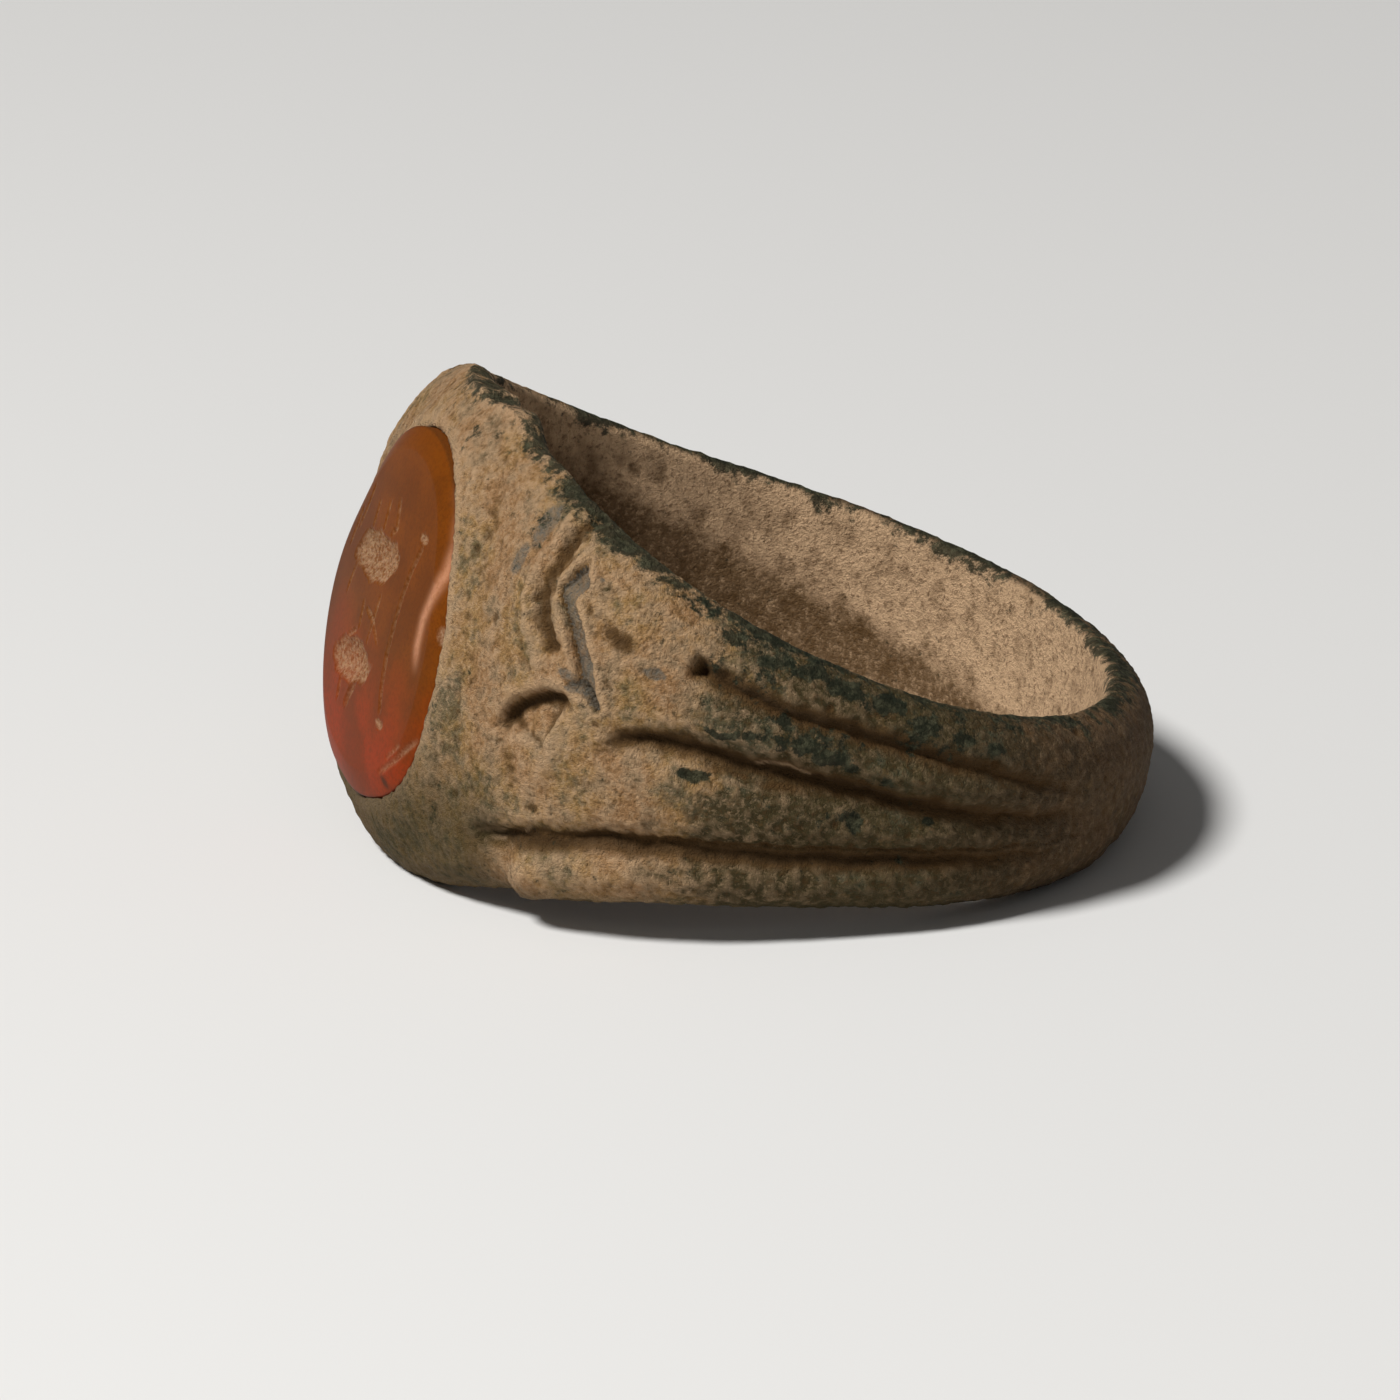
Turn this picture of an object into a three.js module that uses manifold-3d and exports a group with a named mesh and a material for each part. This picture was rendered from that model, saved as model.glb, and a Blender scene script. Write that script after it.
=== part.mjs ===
// A finger ring of cast copper alloy with an engraved, domed carnelian, lying on its side as a ring
// without a stand does. Millimetres, +Z up, floor at Z = 0, origin under the middle of the lying ring.
//
// The ring is first drawn in its own frame: the finger goes through along Z, the bezel with the stone is
// at -X, the back of the hoop at +X, and the shoulder that the picture shows at -Y. Directions around
// the hoop are angles from the middle of the bezel, the same on both shoulders. Heights of carving are
// shares of the hoop's half height at that angle, from -1 at its lower edge to 1 at its upper edge.
import * as THREE from 'three';
import { mergeVertices } from 'three/addons/utils/BufferGeometryUtils.js';
import Module from 'manifold-3d';

const wasm = await Module();
wasm.setup();

// Degrees from the middle of the bezel to the middle of a side, where the front oval meets the back one
const SIDE_MIDDLE = 90;

// Finger hole, from its axis
const BORE_HALF_WIDTH = 9.3;
const BORE_TO_BEZEL = 8.85;
const BORE_TO_BACK = 7.9;
const BORE_FRONT_SQUARENESS = 2.7;

// Metal around the hole, at mid height
const BEZEL_WALL = 2;
const SIDE_WALL = 1.63;
const BACK_WALL = 1.6;
const SHOULDER_SQUARENESS = 2.85;
const RIM_ROUNDING = 0.3;
const BEZEL_RIM_ROUNDING_ABOVE = 1;
const BEZEL_RIM_DROP_ABOVE = 0.35;
const BEZEL_RIM_ROUNDING_BELOW = 0.5;
const RIM_SPREAD = 28;

// Height of the hoop along the finger: how far its back reaches up and down from mid height, its whole
// height at 120 and 60 degrees from the bezel's middle, and how far the bezel reaches up and down, with a
// pointed tip at its upper end. Beside the tip the near shoulder stands a little higher than the far one.
const BACK_RISE = 2.2;
const BACK_DROP = 1.95;
const SIDE_HEIGHT = 4.6;
const SHOULDER_HEIGHT = 7.75;
const BEZEL_RISE = 6.2;
const BEZEL_DROP = 6.36;
const TIP_RISE = 0.95;
const TIP_SPREAD = 20;
const NEAR_SHOULDER_RISE = 0.7;
const FAR_SHOULDER_FALL = 0.35;
const SHOULDER_CHANGE_AT = 10;

// Fullness of the section: 2 is an ellipse, more is squarer
const SIDE_FULLNESS = 2.4;
const BEZEL_FULLNESS_ABOVE = 1.65;
const BEZEL_FULLNESS_BELOW = 2.8;
const BEZEL_SPREAD = 50;

// Stone and its seat: an oval, turned a little on the bezel
const STONE_LENGTH = 9.8;
const STONE_WIDTH = 9.2;
const STONE_TURN = -27;
const STONE_OFF_CENTRE = [0.45, -0.1];

// The stone was cut by hand: its outline swells or is flattened in some directions (degrees on the bezel's
// face, from the far side towards the top), by shares of its radius
const OUTLINE_SWELLS = [
  { direction: 28, width: 26, share: -0.08 },
  { direction: 148, width: 18, share: -0.06 },
  { direction: 215, width: 26, share: 0.13 },
  { direction: 278, width: 18, share: -0.035 },
];

// Height of the stone's parts, and how it sits
const STONE_BEVEL = 0.18;
const BEVEL_REACH = 0.6;
const STONE_DOME = 0.27;
const STONE_SINK = 0.14;
const SEAT_FLOOR_WALL = 0.5;
const SEAT_CLEARANCE = 0.3;

// On the near side the bezel's face rises to just under the stone's edge, and falls away around it
const COLLAR_SINK = 0.06;
const COLLAR_FALL = 0.85;
const COLLAR_START = 16;

// Two drilled hollows of the engraved figure, from the stone's middle
const HOLLOW_RADIUS = 0.62;
const HOLLOW_DEPTH = 0.28;
const HOLLOWS = [[0.8, 1.3], [0.95, -1.65]];

// Three grooves on each shoulder, which part four ribs and run together towards the back
const UPPER_GROOVE = { share: 0.69, start: 59, depth: 0.42 };
const GROOVES = [
  UPPER_GROOVE,
  { share: 0.18, start: 53.5, depth: 0.5 },
  { share: -0.54, start: 44, depth: 0.5 },
];
const GROOVE_REACH = 0.95;
const GROOVE_HEAD_STEEPNESS = 2;
const GROOVE_MEET_SHARE = 0.2;
const GROOVES_CLOSE_FROM = 88;
const GROOVES_CLOSE_TO = 140;
const GROOVE_FADE_FROM = 80;
const GROOVE_END = 128;

// Lowest rib: a strong roll with a blunt end below the bezel
const ROLL_SHARE = -0.79;
const ROLL_START = 40.5;
const ROLL_RISE = 0.34;
const ROLL_REACH = 0.8;

// Carved strokes between bezel and ribs: [degrees from the bezel's middle, share of the half height]
const STROKES = [
  { path: [[38.5, 0.95], [35.5, 0.62], [36, 0.45]], depth: 0.22, reach: 0.7 },
  { path: [[43, 0.83], [40.3, 0.62], [48, 0.2], [42, 0.26]], depth: 0.4, reach: 0.7 },
  { path: [[36, -0.06], [38, 0.07], [45, 0.1]], depth: 0.42, reach: 0.7 },
  { path: [[36, -0.1], [42.4, -0.31], [43.4, -0.48]], depth: 0.2, reach: 0.6 },
];
const PIT_LENGTH = 0.4;
const PIT = {
  path: [[UPPER_GROOVE.start - PIT_LENGTH, UPPER_GROOVE.share], [UPPER_GROOVE.start, UPPER_GROOVE.share]],
  depth: 0.35,
  reach: 0.5,
};

// How the loose ring lies: it leans a little to the -Y side, and worn flats where it meets the floor
const LEAN = 3;
const FLAT_DEPTH = 0.12;

// Fineness of the faceted solids
const OUTER_STEPS = 29;
const CORNER_STEPS = 4;
const INNER_STEPS = 3;
const BEZEL_STEP = 4.2;
const PLAIN_STEP = 7;
const CARVED_STEP = 1.15;
const CARVED_FROM = 34;
const CARVED_TO = 50;
const HEADS_STEP = 2;
const HEADS_TO = 64;
const RIBBED_STEP = 5.3;
const RIBBED_TO = 128;
const OVAL_STEPS = 56;
const PROFILE_SAMPLES = 80;

const radians = THREE.MathUtils.degToRad;
const smoothstep = THREE.MathUtils.smoothstep;

// Distance from the axis to a half oval with the given half axes, at an angle from its first axis
function ovalRadius(alongHalf, acrossHalf, squareness, angle) {
  const along = Math.abs(Math.cos(angle)) / alongHalf;
  const across = Math.abs(Math.sin(angle)) / acrossHalf;
  return (along ** squareness + across ** squareness) ** (-1 / squareness);
}

function boreRadius(fromBezel) {
  const front = fromBezel < SIDE_MIDDLE;
  const squareness = front ? BORE_FRONT_SQUARENESS : 2;
  return ovalRadius(front ? BORE_TO_BEZEL : BORE_TO_BACK, BORE_HALF_WIDTH, squareness, radians(fromBezel));
}

function outerRadius(fromBezel) {
  const front = fromBezel < SIDE_MIDDLE;
  const squareness = front ? SHOULDER_SQUARENESS : 2;
  const along = front ? BORE_TO_BEZEL + BEZEL_WALL : BORE_TO_BACK + BACK_WALL;
  return ovalRadius(along, BORE_HALF_WIDTH + SIDE_WALL, squareness, radians(fromBezel));
}

// Half height of the hoop, up or down from mid height: a smooth cosine curve through the named heights
function halfHeight(fromBezel, upwards, side) {
  const [middle, shoulder] = [SIDE_HEIGHT / 2, SHOULDER_HEIGHT / 2];
  const [back, bezel] = upwards ? [BACK_RISE, BEZEL_RISE] : [BACK_DROP, BEZEL_DROP];
  const turn = Math.PI - radians(fromBezel);
  const mean = (back + 2 * middle + 2 * shoulder + bezel) / 6;
  const first = (back + middle - shoulder - bezel) / 3;
  const second = (back - middle - shoulder + bezel) / 3;
  const third = (back - 2 * middle + 2 * shoulder - bezel) / 6;
  const curve = mean + first * Math.cos(turn) + second * Math.cos(2 * turn) + third * Math.cos(3 * turn);
  if (!upwards) return curve;
  const tip = TIP_RISE * Math.max(0, 1 - fromBezel / TIP_SPREAD) ** 2;
  const change = Math.max(0, 1 - ((fromBezel - SHOULDER_CHANGE_AT) / SHOULDER_CHANGE_AT) ** 2) ** 2;
  return curve + tip + change * (side < 0 ? NEAR_SHOULDER_RISE : -FAR_SHOULDER_FALL);
}

// A value that changes smoothly from the bezel's to the rest of the hoop's
function fromBezelToHoop(bezelValue, hoopValue, fromBezel, spread) {
  return THREE.MathUtils.lerp(bezelValue, hoopValue, smoothstep(fromBezel, 0, spread));
}

// Depth of a cut whose walls curve up to broad ribs: deepest on its line, gone at its reach
function cutDepth(distance, depth, reach) {
  return depth * Math.max(0, 1 - distance / reach) ** 2;
}

// Distance in millimetres from a place on the shoulder to a stroke's line
function distanceToPath(fromBezel, share, side, path) {
  const perDegree = radians(1) * outerRadius(fromBezel);
  const perShare = halfHeight(fromBezel, share > 0, side);
  const spot = new THREE.Vector3(fromBezel * perDegree, share * perShare, 0);
  const nearest = new THREE.Vector3();
  let distance = Infinity;
  for (let i = 1; i < path.length; i += 1) {
    const ends = [path[i - 1], path[i]].map(
      ([degrees, height]) => new THREE.Vector3(degrees * perDegree, height * perShare, 0),
    );
    new THREE.Line3(...ends).closestPointToPoint(spot, true, nearest);
    distance = Math.min(distance, nearest.distanceTo(spot));
  }
  return distance;
}

// How far the carved surface lies outside the plain one
function carving(fromBezel, share, side) {
  const perShare = halfHeight(fromBezel, share > 0, side);
  const closing = smoothstep(fromBezel, GROOVES_CLOSE_FROM, GROOVES_CLOSE_TO);
  const fade = 1 - smoothstep(fromBezel, GROOVE_FADE_FROM, GROOVE_END);
  let rise = 0;
  let cut = 0;
  for (const groove of GROOVES) {
    const place = THREE.MathUtils.lerp(groove.share, GROOVE_MEET_SHARE, closing);
    const before = Math.max(0, groove.start - fromBezel) * radians(1) * outerRadius(fromBezel);
    const distance = Math.hypot((share - place) * perShare, before * GROOVE_HEAD_STEEPNESS);
    cut = Math.max(cut, cutDepth(distance, groove.depth * fade, GROOVE_REACH));
  }
  for (const stroke of [...STROKES, PIT]) {
    const distance = distanceToPath(fromBezel, share, side, stroke.path);
    cut = Math.max(cut, cutDepth(distance, stroke.depth, stroke.reach));
  }
  if (fromBezel > ROLL_START) {
    const across = Math.min(1, Math.abs(share - ROLL_SHARE) * perShare / ROLL_REACH);
    rise = ROLL_RISE * fade * Math.sqrt(1 - across ** 2);
  }
  return rise - cut;
}

// Even steps along a line of points, ends included
function evenSteps(points, steps) {
  const reached = [0];
  for (let i = 1; i < points.length; i += 1) {
    reached.push(reached[i - 1] + points[i].distanceTo(points[i - 1]));
  }
  const placed = [];
  let at = 1;
  for (let step = 0; step <= steps; step += 1) {
    const wanted = (reached.at(-1) * step) / steps;
    while (at < points.length - 1 && reached[at] < wanted) at += 1;
    const share = (wanted - reached[at - 1]) / (reached[at] - reached[at - 1]);
    placed.push(points[at - 1].clone().lerp(points[at], share));
  }
  return placed;
}

// Where the stone's edge meets the bezel, and where the floor of its seat is
const bezelFront = -(BORE_TO_BEZEL + BEZEL_WALL);
const stoneEdge = bezelFront + STONE_SINK;
const seatFloor = -(BORE_TO_BEZEL + SEAT_FLOOR_WALL);

// The stone's hand-cut outline in a direction, as a share of the oval's radius there
function outlineFactor(acrossBezel, up) {
  const direction = THREE.MathUtils.radToDeg(Math.atan2(up, acrossBezel));
  let factor = 1;
  for (const swell of OUTLINE_SWELLS) {
    const away = THREE.MathUtils.euclideanModulo(direction - swell.direction + 180, 360) - 180;
    factor += swell.share * Math.exp(-((away / swell.width) ** 2));
  }
  return factor;
}

// Distance from the axis at which the bezel's face comes up to the stone
function collarRadius(fromBezel, side, radius, up) {
  const angle = radians(fromBezel);
  const turn = radians(STONE_TURN);
  const flat = [STONE_OFF_CENTRE[0] - side * radius * Math.sin(angle), up - STONE_OFF_CENTRE[1]];
  const across = flat[0] * Math.cos(turn) + flat[1] * Math.sin(turn);
  const along = flat[1] * Math.cos(turn) - flat[0] * Math.sin(turn);
  const [halfWidth, halfLength] = [STONE_WIDTH / 2 + SEAT_CLEARANCE, STONE_LENGTH / 2 + SEAT_CLEARANCE];
  const share = Math.hypot(across / halfWidth, along / halfLength) / outlineFactor(-flat[0], flat[1]);
  const outside = Math.max(0, share - 1) * halfWidth;
  return (-stoneEdge - COLLAR_SINK - COLLAR_FALL * outside ** 2) / Math.cos(angle);
}

// Closed section of the hoop in (distance from the axis, height), counter-clockwise from the lower edge
function section(fromBezel, side) {
  const inner = boreRadius(fromBezel);
  const wall = outerRadius(fromBezel) - inner;
  const roundingAbove = fromBezelToHoop(BEZEL_RIM_ROUNDING_ABOVE, RIM_ROUNDING, fromBezel, RIM_SPREAD);
  const dropAbove = fromBezelToHoop(BEZEL_RIM_DROP_ABOVE, RIM_ROUNDING, fromBezel, RIM_SPREAD);
  const roundingBelow = fromBezelToHoop(BEZEL_RIM_ROUNDING_BELOW, RIM_ROUNDING, fromBezel, RIM_SPREAD);
  const skin = [];
  for (let i = -PROFILE_SAMPLES; i <= PROFILE_SAMPLES; i += 1) {
    const upwards = i > 0;
    const bezelFullness = upwards ? BEZEL_FULLNESS_ABOVE : BEZEL_FULLNESS_BELOW;
    const power = 2 / fromBezelToHoop(bezelFullness, SIDE_FULLNESS, fromBezel, BEZEL_SPREAD);
    const reach = Math.acos(((upwards ? roundingAbove : roundingBelow) / wall) ** (1 / power));
    const angle = reach * (i / PROFILE_SAMPLES);
    const out = wall * Math.cos(angle) ** power;
    const up = halfHeight(fromBezel, upwards, side) * Math.sign(i) * Math.abs(Math.sin(angle)) ** power;
    const collared = side < 0 && fromBezel < BEZEL_SPREAD;
    const missing = collared ? Math.max(0, collarRadius(fromBezel, side, inner + out, up) - inner - out) : 0;
    const collar = missing * Math.min(1, fromBezel / COLLAR_START);
    skin.push(new THREE.Vector2(inner + out + collar, up));
  }
  const plain = evenSteps(skin, OUTER_STEPS);
  const outer = plain.map((point, i) => {
    const before = plain[Math.max(0, i - 1)];
    const after = plain[Math.min(OUTER_STEPS, i + 1)];
    const along = after.clone().sub(before).normalize();
    const rise = carving(fromBezel, point.y / halfHeight(fromBezel, point.y > 0, side), side);
    return point.clone().add(new THREE.Vector2(along.y, -along.x).multiplyScalar(rise));
  });
  const top = plain.at(-1).y - dropAbove;
  const bottom = plain[0].y + roundingBelow;
  const closing = [];
  for (let i = 1; i <= CORNER_STEPS; i += 1) {
    const angle = (Math.PI / 2) * (1 + i / CORNER_STEPS);
    const out = inner + roundingAbove * (1 + Math.cos(angle));
    closing.push(new THREE.Vector2(out, top + dropAbove * Math.sin(angle)));
  }
  for (let i = 1; i <= INNER_STEPS; i += 1) {
    closing.push(new THREE.Vector2(inner, THREE.MathUtils.lerp(top, bottom, i / INNER_STEPS)));
  }
  for (let i = 1; i < CORNER_STEPS; i += 1) {
    const angle = Math.PI * (1 + i / (2 * CORNER_STEPS));
    const out = inner + roundingBelow * (1 + Math.cos(angle));
    closing.push(new THREE.Vector2(out, bottom + roundingBelow * Math.sin(angle)));
  }
  return [...outer, ...closing];
}

// Angles from the bezel's middle at which the hoop has a section, closer together where it is carved
function sectionAngles() {
  const stretches = [
    [0, CARVED_FROM, BEZEL_STEP],
    [CARVED_FROM, CARVED_TO, CARVED_STEP],
    [CARVED_TO, HEADS_TO, HEADS_STEP],
    [HEADS_TO, RIBBED_TO, RIBBED_STEP],
    [RIBBED_TO, 180, PLAIN_STEP],
  ];
  const angles = [];
  for (const [from, to, step] of stretches) {
    const count = Math.round((to - from) / step);
    for (let i = 0; i < count; i += 1) angles.push(from + ((to - from) * i) / count);
  }
  return angles;
}

// The cast hoop, shoulders and bezel before the seat is cut: one loft of sections around the finger
function hoopGeometry() {
  const farSide = sectionAngles();
  const nearSide = [180, ...farSide.slice(1).reverse()];
  const rings = [
    ...farSide.map((fromBezel) => ({ fromBezel, side: 1 })),
    ...nearSide.map((fromBezel) => ({ fromBezel, side: -1 })),
  ];
  const positions = [];
  const triangles = [];
  let count = 0;
  for (const { fromBezel, side } of rings) {
    const points = section(fromBezel, side);
    count = points.length;
    for (const point of points) {
      const angle = radians(fromBezel);
      positions.push(-point.x * Math.cos(angle), side * point.x * Math.sin(angle), point.y);
    }
  }
  for (let ring = 0; ring < rings.length; ring += 1) {
    const next = (ring + 1) % rings.length;
    for (let i = 0; i < count; i += 1) {
      const j = (i + 1) % count;
      const [a, b, c, d] = [ring * count + i, ring * count + j, next * count + j, next * count + i];
      triangles.push(a, b, c, a, c, d);
    }
  }
  const geometry = new THREE.BufferGeometry();
  geometry.setAttribute('position', new THREE.Float32BufferAttribute(positions, 3));
  geometry.setIndex(triangles);
  return geometry;
}

// Closed mesh to solid and back, for the cuts
function toSolid(geometry) {
  const bare = geometry.clone();
  bare.deleteAttribute('normal');
  bare.deleteAttribute('uv');
  const merged = mergeVertices(bare);
  return new wasm.Manifold(new wasm.Mesh({
    numProp: 3,
    vertProperties: new Float32Array(merged.attributes.position.array),
    triVerts: new Uint32Array(merged.index.array),
  }));
}

function toGeometry(solid) {
  const mesh = solid.getMesh();
  const geometry = new THREE.BufferGeometry();
  geometry.setAttribute('position', new THREE.Float32BufferAttribute(mesh.vertProperties, 3));
  geometry.setIndex(Array.from(mesh.triVerts));
  geometry.computeVertexNormals();
  return geometry;
}

// Turns a shape drawn about +Z, with +Y up, to face out of the bezel, turns the oval on it and gives it
// the hand-cut outline
function onBezel(geometry, depth) {
  geometry.rotateZ(radians(STONE_TURN));
  const { position } = geometry.attributes;
  for (let i = 0; i < position.count; i += 1) {
    const [x, y] = [position.getX(i), position.getY(i)];
    const factor = outlineFactor(-x, y);
    position.setXY(i, x * factor, y * factor);
  }
  geometry.rotateX(Math.PI / 2);
  geometry.rotateZ(-Math.PI / 2);
  geometry.translate(depth, ...STONE_OFF_CENTRE);
  return geometry;
}

function seatGeometry() {
  const oval = new THREE.Shape();
  const halfWidth = STONE_WIDTH / 2 + SEAT_CLEARANCE;
  const halfLength = STONE_LENGTH / 2 + SEAT_CLEARANCE;
  oval.absellipse(0, 0, halfWidth, halfLength, 0, Math.PI * 2);
  const depth = 2 * (seatFloor - bezelFront);
  const cutter = new THREE.ExtrudeGeometry(oval, { depth, bevelEnabled: false, curveSegments: OVAL_STEPS });
  return onBezel(cutter, seatFloor);
}

// The carnelian: flat back, straight edge, a sloping bevel and a low dome
function stoneGeometry() {
  const halfWidth = STONE_WIDTH / 2;
  const back = seatFloor - SEAT_CLEARANCE;
  const edge = back - stoneEdge;
  const profile = [[0, 0], [halfWidth, 0], [halfWidth, edge]].map((corner) => new THREE.Vector2(...corner));
  const domeRadius = halfWidth - BEVEL_REACH;
  const domeSteps = 6;
  for (let i = 0; i <= domeSteps; i += 1) {
    const out = domeRadius * Math.cos((Math.PI / 2) * (i / domeSteps));
    const up = STONE_BEVEL + STONE_DOME * (1 - (out / domeRadius) ** 2);
    profile.push(new THREE.Vector2(i === domeSteps ? 0 : out, edge + up));
  }
  const stone = new THREE.LatheGeometry(profile, OVAL_STEPS);
  stone.rotateX(Math.PI / 2);
  stone.scale(1, STONE_LENGTH / STONE_WIDTH, 1);
  onBezel(stone, back);
  let solid = toSolid(stone);
  const top = back - edge - STONE_BEVEL - STONE_DOME;
  for (const [across, up] of HOLLOWS) {
    const drill = new THREE.IcosahedronGeometry(HOLLOW_RADIUS, 2);
    drill.scale(HOLLOW_DEPTH / HOLLOW_RADIUS, 1, 1);
    const fall = STONE_DOME * ((across ** 2 + up ** 2) / domeRadius ** 2);
    drill.translate(top + fall, across + STONE_OFF_CENTRE[0], up + STONE_OFF_CENTRE[1]);
    solid = solid.subtract(toSolid(drill));
  }
  return toGeometry(solid);
}

// Lowest point of a set of points at a given pitch, on the bezel's half or on the back's half
function lowest(points, pose, towardsBack) {
  let low = Infinity;
  const turned = new THREE.Vector3();
  for (const point of points) {
    if ((point.x > 0) !== towardsBack) continue;
    low = Math.min(low, turned.copy(point).applyMatrix4(pose).z);
  }
  return low;
}

// The pitch at which bezel and back both touch the floor
function lyingPose(geometry) {
  const points = [];
  const { position } = geometry.attributes;
  for (let i = 0; i < position.count; i += 1) {
    points.push(new THREE.Vector3().fromBufferAttribute(position, i));
  }
  const poseAt = (pitch) => new THREE.Matrix4().makeRotationFromEuler(
    new THREE.Euler(radians(LEAN), pitch, 0, 'YXZ'),
  );
  let low = 0;
  let high = Math.PI / 4;
  for (let i = 0; i < 40; i += 1) {
    const middle = (low + high) / 2;
    const pose = poseAt(middle);
    if (lowest(points, pose, false) < lowest(points, pose, true)) low = middle;
    else high = middle;
  }
  const pose = poseAt(low);
  const floor = Math.min(lowest(points, pose, false), lowest(points, pose, true)) + FLAT_DEPTH;
  return pose.setPosition(0, 0, -floor);
}

// Everything under the floor, in the ring's own frame, to cut the worn flats
function underFloor(pose) {
  const size = 4 * (BORE_TO_BEZEL + BEZEL_WALL);
  const slab = new THREE.BoxGeometry(size, size, size);
  slab.translate(0, 0, -size / 2);
  return slab.applyMatrix4(pose.clone().invert());
}

const bronze = new THREE.MeshStandardMaterial({ color: 0x8a7452, roughness: 0.85, metalness: 0.25 });
const carnelian = new THREE.MeshStandardMaterial({ color: 0xb5582a, roughness: 0.35, metalness: 0 });

const plainHoop = hoopGeometry();
const pose = lyingPose(plainHoop);
const ringSolid = toSolid(plainHoop).subtract(toSolid(seatGeometry())).subtract(toSolid(underFloor(pose)));

const ringBody = new THREE.Mesh(toGeometry(ringSolid), bronze);
ringBody.name = 'bronze_ring';

const stone = new THREE.Mesh(stoneGeometry(), carnelian);
stone.name = 'carnelian_stone';

const lyingRing = new THREE.Group();
lyingRing.add(ringBody, stone);
lyingRing.applyMatrix4(pose);

// The origin is under the middle of the lying ring
const model = new THREE.Group();
model.add(lyingRing);
const middle = new THREE.Box3().setFromObject(model, true).getCenter(new THREE.Vector3());
lyingRing.position.x -= middle.x;
lyingRing.position.y -= middle.y;

export default model;
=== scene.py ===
# A finger ring of cast copper alloy with an engraved carnelian, corroded and sandy from the ground,
# lying on its side. Sizes are in millimetres, and become metres where a mesh is made.
import math

import bmesh
import bpy
import numpy as np
from mathutils import Matrix, Vector


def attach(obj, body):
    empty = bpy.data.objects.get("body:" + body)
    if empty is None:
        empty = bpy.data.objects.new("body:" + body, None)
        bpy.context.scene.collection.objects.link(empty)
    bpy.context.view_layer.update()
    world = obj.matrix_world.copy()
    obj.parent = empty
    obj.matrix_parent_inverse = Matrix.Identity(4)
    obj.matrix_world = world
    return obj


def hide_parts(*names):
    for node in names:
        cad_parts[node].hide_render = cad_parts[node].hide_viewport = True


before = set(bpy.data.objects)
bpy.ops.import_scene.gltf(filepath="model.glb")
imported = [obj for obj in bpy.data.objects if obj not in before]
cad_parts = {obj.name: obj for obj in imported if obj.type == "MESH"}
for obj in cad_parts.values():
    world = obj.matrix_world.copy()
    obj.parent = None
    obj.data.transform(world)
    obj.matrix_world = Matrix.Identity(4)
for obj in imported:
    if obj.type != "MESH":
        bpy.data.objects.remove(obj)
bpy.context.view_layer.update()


# The ring body: one casting of copper alloy, hoop, ribbed shoulders and bezel in one. It was cast in
# a mould cut by hand, so ribs and strokes are soft-edged, and the ground has left it rough, with a
# sandy skin over green and black metal.
# Degrees from the middle of the bezel to the middle of a side, where the front oval meets the back one
SIDE_MIDDLE = 90
# Finger hole, from its axis
BORE_HALF_WIDTH = 9.3
BORE_TO_BEZEL = 8.85
BORE_TO_BACK = 7.9
BORE_FRONT_SQUARENESS = 2.7
# Metal around the hole at mid height, and the rounding of its rims
BEZEL_WALL = 2.0
SIDE_WALL = 1.63
BACK_WALL = 1.6
SHOULDER_SQUARENESS = 2.85
RIM_ROUNDING = 0.3
BEZEL_RIM_ROUNDING_ABOVE = 1.0
BEZEL_RIM_DROP_ABOVE = 0.12
BEZEL_RIM_ROUNDING_BELOW = 0.5
RIM_SPREAD = 28
# Height along the finger: the back above and below mid height, the whole hoop at 120 and 60 degrees from
# the bezel's middle, the bezel, its pointed tip, and the crown just past the tip on the far side
BACK_RISE = 2.2
BACK_DROP = 1.95
SIDE_HEIGHT = 4.6
SHOULDER_HEIGHT = 7.75
BEZEL_RISE = 6.2
BEZEL_DROP = 6.36
TIP_RISE = 0.95
TIP_SPREAD = 20
NEAR_SHOULDER_RISE = 0.62
FAR_SHOULDER_FALL = 0.35
SHOULDER_CHANGE_AT = 10
CROWN_RISE = 0.9
CROWN_AT = 6
CROWN_SPREAD = 11.5
# Fullness of the section: 2 is an ellipse, more is squarer
SIDE_FULLNESS = 2.4
BEZEL_FULLNESS_ABOVE = 1.65
BEZEL_FULLNESS_BELOW = 2.8
BEZEL_SPREAD = 50
# Notch in the lower edge before the lowest rib: it deepens over the first angles and ends over the last
NOTCH_RISE = 0.2
NOTCH_OPENS = (20, 37)
NOTCH_ENDS = (39, 41.5)
FAR_NOTCH_SHARE = 0.4

# How it lies: pitch about Y, lean about X, and where its own centre comes to
LYING_PITCH = 13.632
LYING_LEAN = 3.0
LYING_PLACE = (1.101, -0.021, 3.834)
lying = (
    Matrix.Translation(LYING_PLACE)
    @ Matrix.Rotation(math.radians(LYING_PITCH), 4, "Y")
    @ Matrix.Rotation(math.radians(LYING_LEAN), 4, "X")
)


def smoothstep(value, low, high):
    share = np.clip((value - low) / (high - low), 0, 1)
    return share * share * (3 - 2 * share)


def oval_radius(along_half, across_half, squareness, angle):
    along = np.abs(np.cos(angle)) / along_half
    across = np.abs(np.sin(angle)) / across_half
    return (along**squareness + across**squareness) ** (-1 / squareness)


def bore_radius(from_bezel):
    angle = np.radians(from_bezel)
    front = oval_radius(BORE_TO_BEZEL, BORE_HALF_WIDTH, BORE_FRONT_SQUARENESS, angle)
    back = oval_radius(BORE_TO_BACK, BORE_HALF_WIDTH, 2, angle)
    return np.where(from_bezel < SIDE_MIDDLE, front, back)


def outer_radius(from_bezel):
    angle = np.radians(from_bezel)
    half_width = BORE_HALF_WIDTH + SIDE_WALL
    front = oval_radius(BORE_TO_BEZEL + BEZEL_WALL, half_width, SHOULDER_SQUARENESS, angle)
    back = oval_radius(BORE_TO_BACK + BACK_WALL, half_width, 2, angle)
    return np.where(from_bezel < SIDE_MIDDLE, front, back)


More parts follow.
